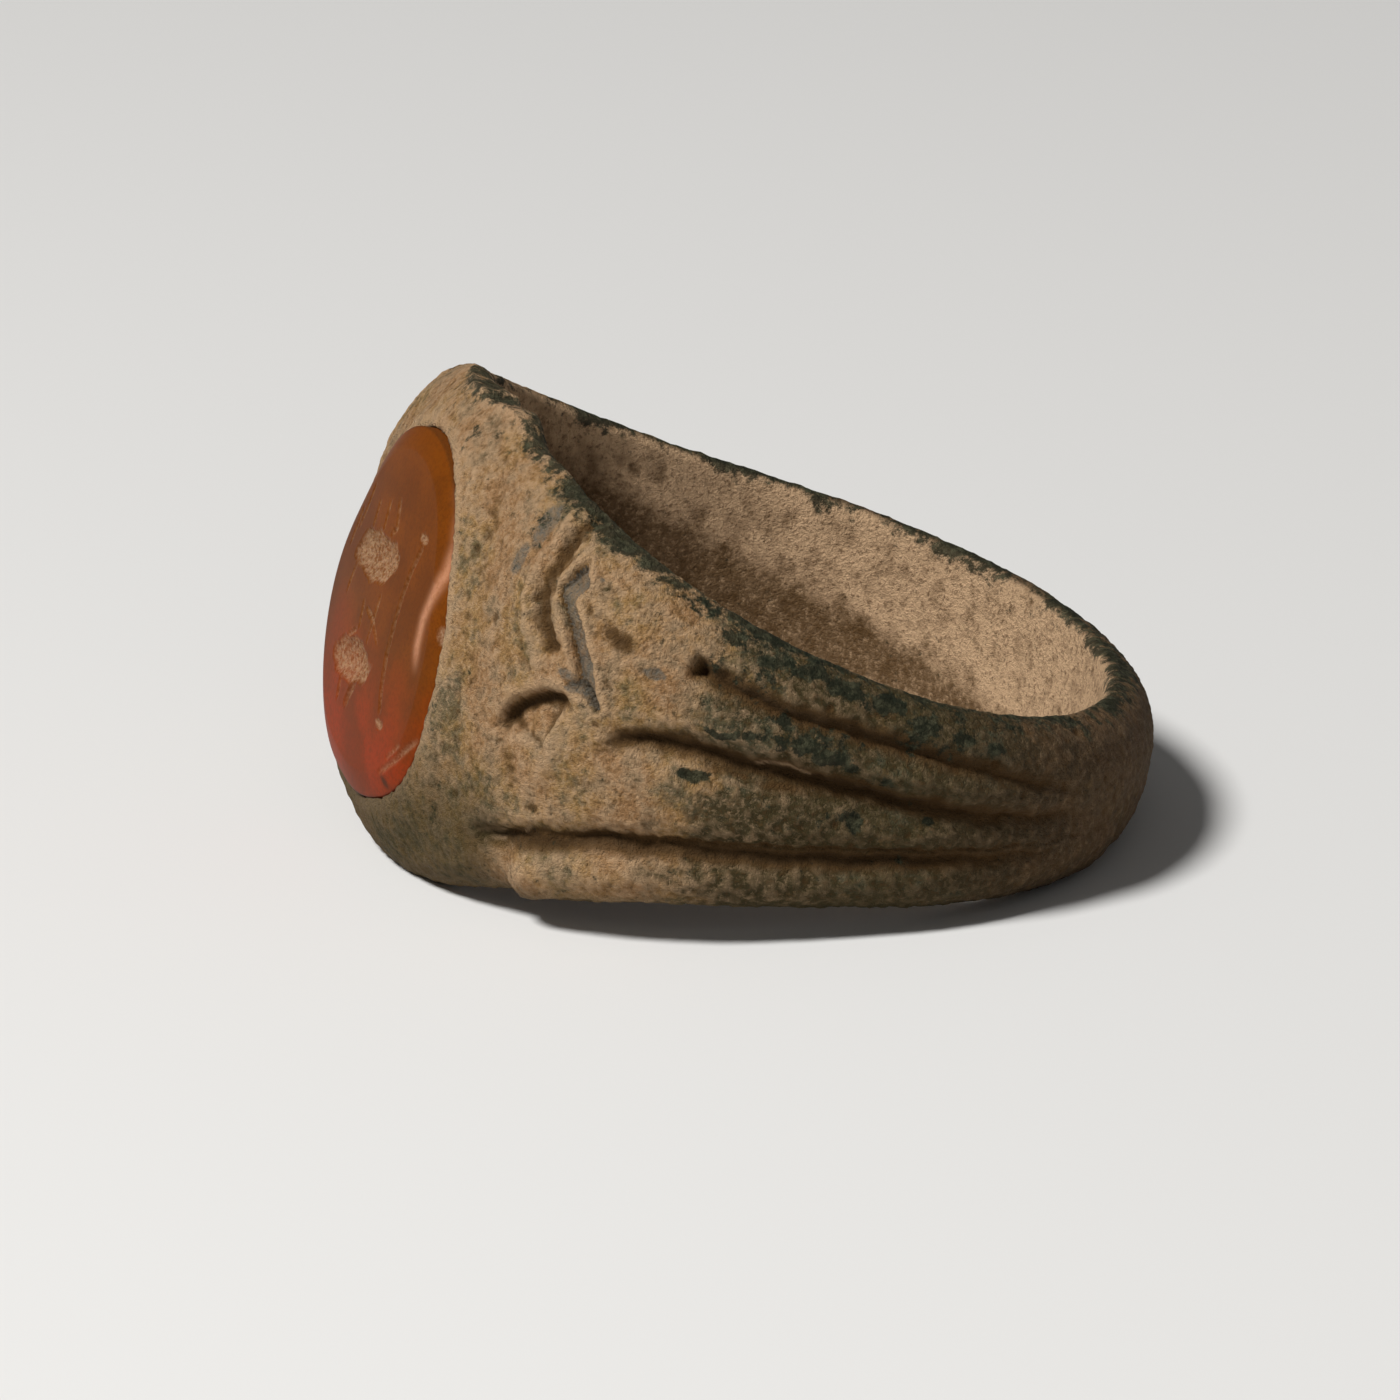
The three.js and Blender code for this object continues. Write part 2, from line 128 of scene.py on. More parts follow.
def half_height(from_bezel, upwards, side):
    """How far the hoop reaches up or down from mid height, on the near side (-1) or the far one (1)."""
    shoulder, middle = SHOULDER_HEIGHT / 2, SIDE_HEIGHT / 2
    back = np.where(upwards, BACK_RISE, BACK_DROP)
    bezel = np.where(upwards, BEZEL_RISE, BEZEL_DROP)
    turn = math.pi - np.radians(from_bezel)
    mean = (back + 2 * middle + 2 * shoulder + bezel) / 6
    first = (back + middle - shoulder - bezel) / 3
    second = (back - middle - shoulder + bezel) / 3
    third = (back - 2 * middle + 2 * shoulder - bezel) / 6
    curve = mean + first * np.cos(turn) + second * np.cos(2 * turn) + third * np.cos(3 * turn)
    tip = TIP_RISE * np.clip(1 - from_bezel / TIP_SPREAD, 0, None) ** 2
    change = np.clip(1 - ((from_bezel - SHOULDER_CHANGE_AT) / SHOULDER_CHANGE_AT) ** 2, 0, None) ** 2
    crown = CROWN_RISE * np.exp(-(((side * from_bezel - CROWN_AT) / CROWN_SPREAD) ** 2))
    above = tip + crown + change * np.where(side < 0, NEAR_SHOULDER_RISE, -FAR_SHOULDER_FALL)
    notch = NOTCH_RISE * smoothstep(from_bezel, *NOTCH_OPENS) * (1 - smoothstep(from_bezel, *NOTCH_ENDS))
    below = -notch * np.where(side < 0, 1, FAR_NOTCH_SHARE)
    return curve + np.where(upwards, above, below)


def from_bezel_to_hoop(bezel_value, hoop_value, from_bezel, spread):
    return bezel_value + (hoop_value - bezel_value) * smoothstep(from_bezel, 0, spread)


# Lengths along the outside of the hoop from the bezel's middle, for carving that follows the surface
quarter_degrees = np.linspace(0, 180, 4 * 180 + 1)
turned = np.radians(quarter_degrees)
mid_curve = outer_radius(quarter_degrees)[:, None] * np.stack([np.cos(turned), np.sin(turned)], 1)
run = np.concatenate([[0], np.cumsum(np.linalg.norm(np.diff(mid_curve, axis=0), axis=1))])


def along_hoop(from_bezel):
    return np.interp(from_bezel, quarter_degrees, run)


# Carved lines as [degrees from the bezel's middle, millimetres up from mid height]
UPPER_GROOVE = [
    [58.6, 2.6], [65, 2.26], [71, 2.0], [79, 1.83], [88, 1.6], [98, 1.36], [111, 0.98], [124, 0.5],
]
MIDDLE_GROOVE = [
    [51.6, 0.36], [55, 0.58], [60, 0.63], [66, 0.54], [72, 0.5], [80, 0.4], [90, 0.22], [102, 0.12],
    [128, 0.1],
]
LOWER_GROOVE = [
    [35, -3.5], [37, -3.36], [41, -3.12], [46, -2.84], [51, -2.44], [58, -2.14], [65, -1.92],
    [72, -1.76], [81, -1.52], [96, -1.14], [112, -0.86], [126, -0.6],
]
ROLL_CREST = [
    [39.6, -4.02], [47, -3.5], [58, -2.88], [69, -2.46], [80, -2.16], [91, -1.9], [108, -1.55],
    [130, -1.2],
]
LEAF_CHANNEL = [
    [38.5, 5.25], [36.4, 4.85], [36, 4.4], [35.5, 3.8], [35.4, 3.3], [35.9, 2.8], [37.5, 2.3],
    [39.5, 1.95], [41.2, 1.72],
]
FACET_LEFT = [
    [40.0, 4.05], [38.9, 3.72], [37.6, 3.26], [39.2, 2.94], [41.4, 2.42], [43.4, 1.88], [44.6, 1.45],
    [48.1, 0.92],
]
FACET_RIGHT = [
    [40.0, 4.05], [41.4, 3.66], [40.8, 3.24], [42.4, 2.84], [44.0, 2.42], [45.5, 1.98], [46.4, 1.66],
    [48.1, 0.92],
]
LEAF_HOOK = [[47.6, 1.0], [45.6, 1.24], [43.8, 1.3], [42.0, 1.22]]
EYE_ARCH = [[36.2, -0.75], [35.9, -0.3], [36.3, 0.08], [37.8, 0.4], [40, 0.66], [43, 0.8], [45.2, 0.62]]
EYE_FALL = [[35.8, -0.5], [36.9, -1.0], [38.2, -1.45], [40.0, -1.95], [42.4, -2.3]]
EYE_RIDGE = [[45.2, 0.45], [44.4, -0.16], [43.2, -0.7], [41.8, -1.4], [40.9, -1.8]]
HAIR_SCRATCHES = [
    [[34.0, -3.42], [37.4, -3.16]], [[35.2, -3.62], [38.0, -3.4]], [[41.4, -2.9], [42.6, -2.62]],
    [[68.2, 0.6], [71.5, 0.66], [75.2, 0.6]], [[44.5, -2.42], [46.0, -2.4]], [[50.4, -1.9], [54.8, -1.96]],
]
# Grooves between the ribs, as (line, depth, reach). They are shallower at their heads, fade towards the
# back, and their walls are steeper above than below
GROOVES = ((UPPER_GROOVE, 0.4, 0.8), (MIDDLE_GROOVE, 0.56, 0.88), (LOWER_GROOVE, 0.5, 0.9))
GROOVES_FADE = (84, 128)
GROOVE_BACK_DEPTH = 0.4
GROOVE_HEAD_DEPTH = 0.55
GROOVE_WALL_ABOVE, GROOVE_WALL_BELOW = 0.8, 1.1
GROOVE_HOLLOWNESS = 1.8
GROOVE_STAIN = 0.36
# The lowest rib, the leaf with its facet and the hook at its foot, and the eye-shaped hollow
ROLL_HEAD = (37.8, 43.4)
ROLL_RISE, ROLL_REACH = 0.38, 0.84
LEAF_DEPTH, LEAF_WALL_RIGHT, LEAF_WALL_LEFT = 0.25, 0.34, 0.26
LEAF_LIP, LEAF_LIP_AT, LEAF_LIP_WIDTH = 0.07, 0.55, 0.16
FACET_STEP, FACET_SLOPE = 0.03, 0.3
FACET_EDGE_DEPTH, FACET_EDGE_WIDTH = 0.28, 0.13
FACET_LIP, FACET_LIP_AT, FACET_LIP_WIDTH = 0.06, 0.1, 0.12
FAR_CRISPNESS = 0.4
HOOK_DEPTH, HOOK_WIDTH = 0.2, 0.13
EYE_DEPTH, EYE_REACH_BELOW, EYE_REACH_ABOVE = 0.45, 0.8, 0.28
EYE_LIP, EYE_LIP_AT, EYE_LIP_WIDTH = 0.05, 0.4, 0.2
EYE_FALL_DEPTH, EYE_FALL_WIDTH = 0.11, 0.3
EYE_RIDGE_RISE, EYE_RIDGE_WIDTH = 0.06, 0.3
SCRATCH_WIDTH, SCRATCH_DEPTH = 0.045, 0.03
FAR_CARVING = 0.85
HAND_WANDER = 0.06


def line_points(line, between=8):
    """A smooth run of points through a carved line, in millimetres along the hoop and up."""
    knots = np.array([[along_hoop(degrees), up] for degrees, up in line])
    padded = np.concatenate([[2 * knots[0] - knots[1]], knots, [2 * knots[-1] - knots[-2]]])
    points = []
    for before, start, end, after in zip(padded, padded[1:], padded[2:], padded[3:]):
        for share in np.arange(between) / between:
            points.append(0.5 * (2 * start + (end - before) * share
                                 + (2 * before - 5 * start + 4 * end - after) * share**2
                                 + (3 * start - before - 3 * end + after) * share**3))
    return np.array(points + [knots[-1]])


def points_distance(first, second, points):
    """Distance to a run of points, side of it (left of its run is positive), and share of its length."""
    step = np.diff(points, axis=0)
    length = np.linalg.norm(step, axis=1)
    reached = np.concatenate([[0], np.cumsum(length)])
    best = np.full(first.shape, np.inf)
    side = np.zeros(first.shape)
    share = np.zeros(first.shape)
    for i in range(len(step)):
        from_start = np.stack([first - points[i, 0], second - points[i, 1]], -1)
        place = np.clip(from_start @ step[i] / length[i] ** 2, 0, 1)
        distance = np.linalg.norm(from_start - place[..., None] * step[i], axis=-1)
        nearer = distance < best
        turn = step[i, 0] * from_start[..., 1] - step[i, 1] * from_start[..., 0]
        best = np.where(nearer, distance, best)
        side = np.where(nearer, np.sign(turn), side)
        share = np.where(nearer, (reached[i] + place * length[i]) / reached[-1], share)
    return best, side, share


def bell(distance, width):
    return np.exp(-((distance / width) ** 2))


def oval_spot(along, up, spot):
    """A soft oval spot: 1 in its middle, small beyond its half sizes."""
    degrees, height, half_along, half_up = spot
    return np.exp(-((along - along_hoop(degrees)) / half_along) ** 2 - ((up - height) / half_up) ** 2)


# Dents as (degrees, height, half sizes along and up, depth)
DENTS = (
    (58.5, 2.68, 0.25, 0.24, 0.5), (46.6, 2.84, 0.42, 0.26, 0.13), (49.0, 2.62, 0.3, 0.2, 0.08),
    (53.0, 2.25, 0.3, 0.16, 0.06), (82.8, -0.4, 0.22, 0.2, 0.12), (93.2, -0.2, 0.2, 0.13, 0.08),
    (60.8, -0.04, 0.36, 0.13, 0.08), (42.4, -2.2, 0.16, 0.16, 0.1), (32.0, 4.2, 0.4, 0.7, 0.08),
    (66.0, 0.2, 0.35, 0.12, 0.1), (61.5, 2.62, 0.5, 0.12, 0.08), (37.6, -3.62, 0.4, 0.3, 0.12),
    (68.4, 3.1, 0.5, 0.2, 0.08), (76.0, 2.7, 0.45, 0.18, 0.08), (84.5, 2.4, 0.4, 0.2, 0.08),
    (55.0, 3.9, 0.5, 0.3, 0.07),
)
# Stains as (degrees, height, half sizes along and up, strength): the grey and the dark ones are on the near
# shoulder alone, the brown ones on both
GREY_STAINS = (
    (30.6, 4.5, 0.35, 0.75, 0.9), (29.6, 3.5, 0.3, 0.5, 0.9), (42.6, 1.5, 0.32, 0.2, 0.8),
    (43.6, 1.15, 0.3, 0.12, 0.8), (53.6, 2.22, 0.42, 0.16, 0.9), (42.6, 3.95, 0.14, 0.12, 0.7),
    (26.5, 1.2, 0.25, 0.3, 0.5),
)
DARK_STAINS = (
    (60.8, -0.03, 0.46, 0.15, 1.0), (82.8, -0.4, 0.3, 0.26, 1.0), (93.2, -0.2, 0.26, 0.16, 1.0),
    (63.2, 1.2, 0.6, 0.13, 1.0), (66.5, 1.3, 0.5, 0.17, 0.9), (70.0, 1.72, 0.45, 0.26, 0.85),
    (73.6, 1.35, 0.5, 0.3, 1.0), (77.4, 1.12, 0.6, 0.24, 1.0), (80.6, 0.9, 0.35, 0.18, 0.9),
    (86.0, 0.72, 0.26, 0.2, 0.85), (31.6, 3.95, 0.2, 0.08, 0.7), (56.5, 3.9, 0.5, 0.4, 0.7),
    (61.5, 3.5, 0.6, 0.3, 0.8), (65.0, 3.15, 0.5, 0.2, 0.7), (68.5, 3.2, 0.7, 0.22, 0.9),
    (72.5, 3.0, 0.7, 0.25, 0.9), (78.0, 2.75, 0.8, 0.25, 0.95), (84.0, 2.5, 0.8, 0.25, 0.95),
    (90.0, 2.2, 0.7, 0.3, 0.9), (96.0, 2.0, 0.6, 0.28, 0.85), (101.0, 1.8, 0.5, 0.25, 0.7),
    (88.0, 1.9, 0.5, 0.2, 0.7), (52.0, -1.3, 0.3, 0.2, 0.35), (38.0, -2.9, 0.3, 0.2, 0.35),
    (27.0, -2.8, 0.3, 0.25, 0.45), (25.0, -0.6, 0.2, 0.35, 0.4), (31.0, -3.9, 0.3, 0.25, 0.4),
    (90.0, -1.4, 0.5, 0.2, 0.4), (47.0, 1.9, 0.12, 0.12, 0.6), (64.0, 2.9, 1.8, 0.9, 0.52),
    (74.0, 1.4, 2.4, 0.5, 0.62), (92.0, 1.8, 2.2, 0.6, 0.52), (80.0, -0.5, 2.5, 0.5, 0.4),
    (24.0, -1.2, 0.9, 1.5, 0.4), (30.0, 4.4, 0.8, 0.8, 0.42), (22.0, -3.6, 1.8, 1.4, 0.42),
    (8.0, 5.4, 1.4, 0.7, 0.42),
)
BROWN_STAINS = (
    (48.0, 2.7, 0.55, 0.3, 0.9), (58.5, 2.68, 0.34, 0.3, 1.0), (63.5, 2.35, 0.7, 0.2, 0.8),
    (44.0, -1.1, 0.4, 0.4, 0.4), (36.5, -3.45, 0.8, 0.3, 0.8), (72.0, 0.15, 1.2, 0.25, 0.8),
    (64.0, 0.3, 0.9, 0.25, 0.7), (50.5, 0.0, 0.6, 0.3, 0.4),
)


def wander(along, up, phase):
    """The unevenness of a line cut by hand, from about -1 to 1."""
    long_waves = np.sin(3.1 * along + 2.3 * up + phase) + np.sin(5.3 * up - 4.1 * along + 2 * phase)
    return (long_waves + 0.7 * np.sin(9.7 * along + 7.9 * up + 3 * phase)) / 2.7


def stained(values, along, up, spots):
    """A mask with soft oval stains added to it."""
    for *spot, strength in spots:
        values = np.maximum(values, strength * oval_spot(along, up, spot))
    return values


def carving(from_bezel, up, side):
    """Millimetres that the carved surface stands out of the plain one, and masks for its finish and for
    painted shadow.
    """
    along = along_hoop(from_bezel)
    along, up = along + HAND_WANDER * wander(along, up, 0.4), up + HAND_WANDER * wander(along, up, 2.1)
    rise = np.zeros(along.shape)
    brown = np.zeros(along.shape)
    fade = 1 - smoothstep(from_bezel, *GROOVES_FADE)
    for line, depth, reach in GROOVES:
        distance, above, share = points_distance(along, up, line_points(line))
        ending = 1 - smoothstep(share, 0.8, 1)
        head = GROOVE_HEAD_DEPTH + (1 - GROOVE_HEAD_DEPTH) * smoothstep(share, 0, 0.05)
        cut = depth * (GROOVE_BACK_DEPTH + (1 - GROOVE_BACK_DEPTH) * fade) * head * ending
        wall = np.where(above > 0, GROOVE_WALL_ABOVE, GROOVE_WALL_BELOW) * reach
        rise -= cut * np.clip(1 - distance / wall, 0, None) ** GROOVE_HOLLOWNESS
        brown = np.maximum(brown, bell(distance, GROOVE_STAIN) * ending * (0.45 + 0.55 * fade))
    distance, _, _ = points_distance(along, up, line_points(ROLL_CREST))
    blunt = smoothstep(along, *along_hoop(ROLL_HEAD))
    roll = np.sqrt(np.clip(1 - (distance / ROLL_REACH) ** 2, 0, None))
    rise += ROLL_RISE * blunt * (0.25 + 0.75 * fade) * roll
    # Leaf beside the bezel: a worn channel, then a flat facet that falls steeply to its left edge
    distance, right, share = points_distance(along, up, line_points(LEAF_CHANNEL))
    open_end = smoothstep(share, 0.0, 0.2) * (1 - smoothstep(share, 0.9, 1))
    wall = np.where(right > 0, LEAF_WALL_RIGHT, LEAF_WALL_LEFT)
    uneven = 1 + 0.35 * wander(2 * along, 2 * up, 1.0)
    rise -= LEAF_DEPTH * np.exp(-(distance / wall) ** 2.5) * open_end * uneven
    brown = np.maximum(brown, 0.85 * bell(distance, 0.3) * open_end)
    rise += LEAF_LIP * bell(distance - LEAF_LIP_AT, LEAF_LIP_WIDTH) * open_end
    left_distance, past_left, _ = points_distance(along, up, line_points(FACET_LEFT))
    right_distance, past_right, _ = points_distance(along, up, line_points(FACET_RIGHT))
    inside_facet = (past_left > 0) & (past_right < 0)
    slope = right_distance / (left_distance + right_distance + 1e-6)
    crispness = np.where(side < 0, 1, FAR_CRISPNESS)
    edge = FACET_EDGE_DEPTH * np.clip(1 - left_distance / FACET_EDGE_WIDTH, 0, 1) * (past_left < 0)
    rise -= crispness * np.where(inside_facet, FACET_STEP + FACET_SLOPE * slope, edge)
    lip = FACET_LIP * bell(right_distance - FACET_LIP_AT, FACET_LIP_WIDTH) * (past_right > 0)
    rise += np.where(inside_facet, 0, lip)
    grey = np.where(inside_facet, 1.0, 0.0)
    # Painted shadow: a dark line along the facet's left edge, where its step casts shade
    dark = 0.35 * bell(left_distance, 0.05) * (left_distance < 0.2)
    distance, _, share = points_distance(along, up, line_points(LEAF_HOOK))
    ending = 1 - smoothstep(share, 0.6, 1.0)
    rise -= HOOK_DEPTH * bell(distance, HOOK_WIDTH) * ending
    grey = np.maximum(grey, bell(distance, 0.16) * ending)
    # Eye-shaped hollow below it: steep under its arch, rising gently to its lower right
    distance, over, share = points_distance(along, up, line_points(EYE_ARCH))
    shape = smoothstep(share, 0.0, 0.2) * (1 - smoothstep(share, 0.75, 1.0))
    under = over < 0
    over_arch = np.clip(1 - distance / EYE_REACH_ABOVE, 0, 1) ** 1.5
    rise -= EYE_DEPTH * np.where(under, np.exp(-(distance / EYE_REACH_BELOW) ** 1.5), over_arch) * shape
    # Painted shadow: brown along the arch, where the steep upper wall casts shade
    brown = np.maximum(brown, np.where(under, bell(distance - 0.12, 0.2), bell(distance, 0.16)) * shape)
    rise += np.where(over > 0, EYE_LIP * bell(distance - EYE_LIP_AT, EYE_LIP_WIDTH), 0) * shape
    distance, _, share = points_distance(along, up, line_points(EYE_FALL))
    ending = 1 - smoothstep(share, 0.5, 1.0)
    rise -= EYE_FALL_DEPTH * bell(distance, EYE_FALL_WIDTH) * ending
    brown = np.maximum(brown, 0.45 * bell(distance, 0.26) * ending)
    distance, _, share = points_distance(along, up, line_points(EYE_RIDGE))
    pale = 0.7 * bell(distance, 0.22) * (1 - smoothstep(share, 0.6, 1.0))
    rise += EYE_RIDGE_RISE * bell(distance, EYE_RIDGE_WIDTH) * smoothstep(share, 0.1, 0.4)
    for scratch in HAIR_SCRATCHES:
        distance, _, _ = points_distance(along, up, line_points(scratch, 2))
        pale = np.maximum(pale, bell(distance, SCRATCH_WIDTH))
        rise -= SCRATCH_DEPTH * bell(distance - 0.05, 0.04)
    for *spot, depth in DENTS:
        rise -= depth * oval_spot(along, up, spot)
    grey = stained(grey, along, up, GREY_STAINS)
    brown = stained(brown, along, up, BROWN_STAINS)
    dark = stained(dark, along, up, DARK_STAINS)
    near = side < 0
    rise = np.where(near, rise, FAR_CARVING * rise)
    return rise, {"brown": brown, "grey": grey * near, "dark": dark * near, "pale": pale * near}


# The stone's outline on the bezel, and the collar of metal that rises to it: flush on the near side
STONE_LENGTH = 9.8
STONE_WIDTH = 9.2
STONE_TURN = -27
STONE_OFF_CENTRE = (0.45, -0.1)
STONE_EDGE = -10.71
SEAT_FLOOR = -9.35
SEAT_GAP = 0.03
COLLAR_SINK_NEAR = 0.0
COLLAR_SINK_FAR = 0.3
COLLAR_NEAR = (-0.5, 3.0)
COLLAR_FALL = 0.6
COLLAR_BLEND = 0.16
# The stone was cut by hand, so its outline swells or is flattened in some directions: (degrees from the
# far side towards the top, width, share of the radius)
OUTLINE_SWELLS = ((28, 26, -0.08), (148, 18, -0.06), (215, 26, 0.13), (278, 18, -0.035))


def outline_factor(across_bezel, up):
    direction = np.degrees(np.arctan2(up, across_bezel))
    factor = np.ones(direction.shape)
    for middle, width, share in OUTLINE_SWELLS:
        away = (direction - middle + 180) % 360 - 180
        factor = factor + share * np.exp(-((away / width) ** 2))
    return factor


def stone_places(across_bezel, up):
    """Places on the bezel's face as (across, up) on the stone, before its turn."""
    turn = math.radians(STONE_TURN)
    flat_x, flat_y = STONE_OFF_CENTRE[0] - across_bezel, up - STONE_OFF_CENTRE[1]
    factor = outline_factor(-flat_x, flat_y)
    flat_x, flat_y = flat_x / factor, flat_y / factor
    across = flat_x * math.cos(turn) + flat_y * math.sin(turn)
    return across, flat_y * math.cos(turn) - flat_x * math.sin(turn)


def collar_radius(from_bezel, side, radius, up):
    angle = np.radians(from_bezel)
    across_bezel = side * radius * np.sin(angle)
    across, along = stone_places(across_bezel, up)
    around_stone = np.hypot(across / (STONE_WIDTH / 2), along / (STONE_LENGTH / 2))
    outside = np.clip(around_stone - 1, 0, None) * STONE_WIDTH / 2
    near = smoothstep(STONE_OFF_CENTRE[0] - across_bezel, *COLLAR_NEAR)
    sink = COLLAR_SINK_FAR + (COLLAR_SINK_NEAR - COLLAR_SINK_FAR) * near
    return (-STONE_EDGE - sink - COLLAR_FALL * outside**2) / np.cos(angle)


# Fineness of the casting's mesh, in angles from the bezel's middle: (from, to, sections)
NEAR_SECTIONS = ((0, 30, 66), (30, 64, 128), (64, 128, 120), (128, 180, 66))
FAR_SECTIONS = ((0, 30, 40), (30, 64, 54), (64, 128, 60), (128, 180, 50))
SKIN_STEPS, CORNER_STEPS, INNER_STEPS = 120, 8, 24
PROFILE_SAMPLES = 160


def stepped(stretches):
    return np.concatenate([np.linspace(low, high, count, endpoint=False) for low, high, count in stretches])


def plain_skin(from_bezel, side):
    """The uncarved outside of a section, as (distance from the finger's axis, height), bottom to top."""
    inner = float(bore_radius(from_bezel))
    wall = float(outer_radius(from_bezel)) - inner
    skin = []
    for upwards, bezel_rounding, fullness in ((False, BEZEL_RIM_ROUNDING_BELOW, BEZEL_FULLNESS_BELOW),
                                              (True, BEZEL_RIM_ROUNDING_ABOVE, BEZEL_FULLNESS_ABOVE)):
        power = 2 / float(from_bezel_to_hoop(fullness, SIDE_FULLNESS, from_bezel, BEZEL_SPREAD))
        rounding = from_bezel_to_hoop(bezel_rounding, RIM_ROUNDING, from_bezel, RIM_SPREAD)
        reach = math.acos((rounding / wall) ** (1 / power))
        shares = np.linspace(0, 1, PROFILE_SAMPLES + 1)
        if not upwards:
            shares = -np.linspace(1, 0, PROFILE_SAMPLES, endpoint=False)
        angle = reach * shares
        out = inner + wall * np.cos(angle) ** power
        height = float(half_height(from_bezel, upwards, side))
        up = height * np.sign(angle) * np.abs(np.sin(angle)) ** power
        if from_bezel < BEZEL_SPREAD:
            collar = collar_radius(from_bezel, side, out, up)
            raised = COLLAR_BLEND * np.logaddexp(out / COLLAR_BLEND, collar / COLLAR_BLEND)
            out = np.where(collar > 0, raised, out)
        skin.append(np.stack([out, up], 1))
    skin = np.concatenate(skin)
    reached = np.concatenate([[0], np.cumsum(np.linalg.norm(np.diff(skin, axis=0), axis=1))])
    wanted = np.linspace(0, reached[-1], SKIN_STEPS + 1)
    return np.stack([np.interp(wanted, reached, skin[:, i]) for i in (0, 1)], 1)


def inner_skin(from_bezel, top, bottom):
    """The rounded rims and the bore of a section, from its top edge down to its bottom edge."""
    inner = float(bore_radius(from_bezel))
    above = float(from_bezel_to_hoop(BEZEL_RIM_ROUNDING_ABOVE, RIM_ROUNDING, from_bezel, RIM_SPREAD))
    below = float(from_bezel_to_hoop(BEZEL_RIM_ROUNDING_BELOW, RIM_ROUNDING, from_bezel, RIM_SPREAD))
    drop = float(from_bezel_to_hoop(BEZEL_RIM_DROP_ABOVE, RIM_ROUNDING, from_bezel, RIM_SPREAD))
    top, bottom = top - drop, bottom + below
    turn = np.pi / 2 * (1 + np.arange(1, CORNER_STEPS + 1) / CORNER_STEPS)
    upper_corner = np.stack([inner + above * (1 + np.cos(turn)), top + drop * np.sin(turn)], 1)
    down = np.linspace(top, bottom, INNER_STEPS + 1)[1:]
    bore = np.stack([np.full(INNER_STEPS, inner), down], 1)
    turn = np.pi * (1 + np.arange(1, CORNER_STEPS) / (2 * CORNER_STEPS))
    lower_corner = np.stack([inner + below * (1 + np.cos(turn)), bottom + below * np.sin(turn)], 1)
    return np.concatenate([upper_corner, bore, lower_corner])


stations = [(angle, 1) for angle in stepped(FAR_SECTIONS)] + [(180.0, -1)]
stations += [(angle, -1) for angle in stepped(NEAR_SECTIONS)[:0:-1]]
station_angles = np.array([angle for angle, _ in stations])[:, None]
station_sides = np.array([side for _, side in stations])[:, None]
plain = np.array([plain_skin(*station) for station in stations])
tangent = np.gradient(plain, axis=1)
tangent /= np.linalg.norm(tangent, axis=2)[..., None]
normal = np.stack([tangent[..., 1], -tangent[..., 0]], -1)
rise, _ = carving(station_angles + 0 * plain[..., 0], plain[..., 1], station_sides + 0 * plain[..., 0])
carved = plain + normal * rise[..., None]
inner = np.array([inner_skin(angle, skin[-1, 1], skin[0, 1]) for (angle, _), skin in zip(stations, plain)])
sections = np.concatenate([carved, inner], axis=1)
angle = np.radians(station_angles)
from_axis, heights = sections[..., 0], sections[..., 1]
rows = np.stack([-from_axis * np.cos(angle), station_sides * from_axis * np.sin(angle), heights], -1)


def placed_mesh(name, points, faces):
    """A mesh from points in the ring's own frame, laid down as the ring lies, in metres."""
    turned = np.array(points) @ np.array(lying.to_3x3()).T + np.array(lying.translation)
    mesh = bpy.data.meshes.new(name)
    mesh.from_pydata((turned * 0.001).tolist(), [], faces)
    mesh.update()
    return mesh


def closed_grid(count, width):
    faces = []
    for i in range(count):
        for j in range(width):
            here, there = i * width, ((i + 1) % count) * width
            k = (j + 1) % width
            faces.append((here + j, here + k, there + k, there + j))
    return faces


def linked(name, mesh):
    made = bpy.data.objects.new(name, mesh)
    bpy.context.collection.objects.link(made)
    return made


casting_faces = closed_grid(len(rows), rows.shape[1])
casting = linked("ring_casting", placed_mesh("ring_casting", rows.reshape(-1, 3), casting_faces))

# The seat: an oval pocket with the stone's outline, a little ragged, cut into the bezel
OVAL_STEPS = 360
POCKET_OVERRUN = 2
# Waves of its edge, as (height, number around, phase)
SEAT_WAVES = ((0.02, 23, 0), (0.015, 41, 1), (0.012, 67, 2))


def on_bezel(across, up, depth):
    """Points of the ring's own frame from places on the stone, before its turn on the bezel."""
    turn = math.radians(STONE_TURN)
    flat_x = across * math.cos(turn) - up * math.sin(turn)
    flat_y = across * math.sin(turn) + up * math.cos(turn)
    factor = outline_factor(-flat_x, flat_y)
    middle_across, middle_up = STONE_OFF_CENTRE
    return np.stack([depth, middle_across - flat_x * factor, flat_y * factor + middle_up], -1)


angles = np.linspace(0, 2 * np.pi, OVAL_STEPS, endpoint=False)
edge = sum(height * np.sin(angles * count + phase) for height, count, phase in SEAT_WAVES)
gap = SEAT_GAP + np.clip(edge, 0, None)
pocket_across = (STONE_WIDTH / 2 + gap) * np.cos(angles)
pocket_up = (STONE_LENGTH / 2 + gap) * np.sin(angles)
pocket_points = [
    on_bezel(pocket_across, pocket_up, np.full(OVAL_STEPS, depth))
    for depth in (SEAT_FLOOR, STONE_EDGE - POCKET_OVERRUN)
]
pocket_faces = []
for i in range(OVAL_STEPS):
    k = (i + 1) % OVAL_STEPS
    pocket_faces.append((i, k, OVAL_STEPS + k, OVAL_STEPS + i))
pocket_faces += [tuple(range(OVAL_STEPS))[::-1], tuple(range(OVAL_STEPS, 2 * OVAL_STEPS))]
pocket = linked("seat_pocket", placed_mesh("seat_pocket", np.concatenate(pocket_points), pocket_faces))


def face_outwards(mesh):
    shape = bmesh.new()
    shape.from_mesh(mesh)
    bmesh.ops.recalc_face_normals(shape, faces=shape.faces)
    shape.to_mesh(mesh)
    shape.free()


face_outwards(casting.data)
face_outwards(pocket.data)
cut = casting.modifiers.new("seat", "BOOLEAN")
cut.operation = "DIFFERENCE"
cut.solver = "EXACT"
cut.object = pocket


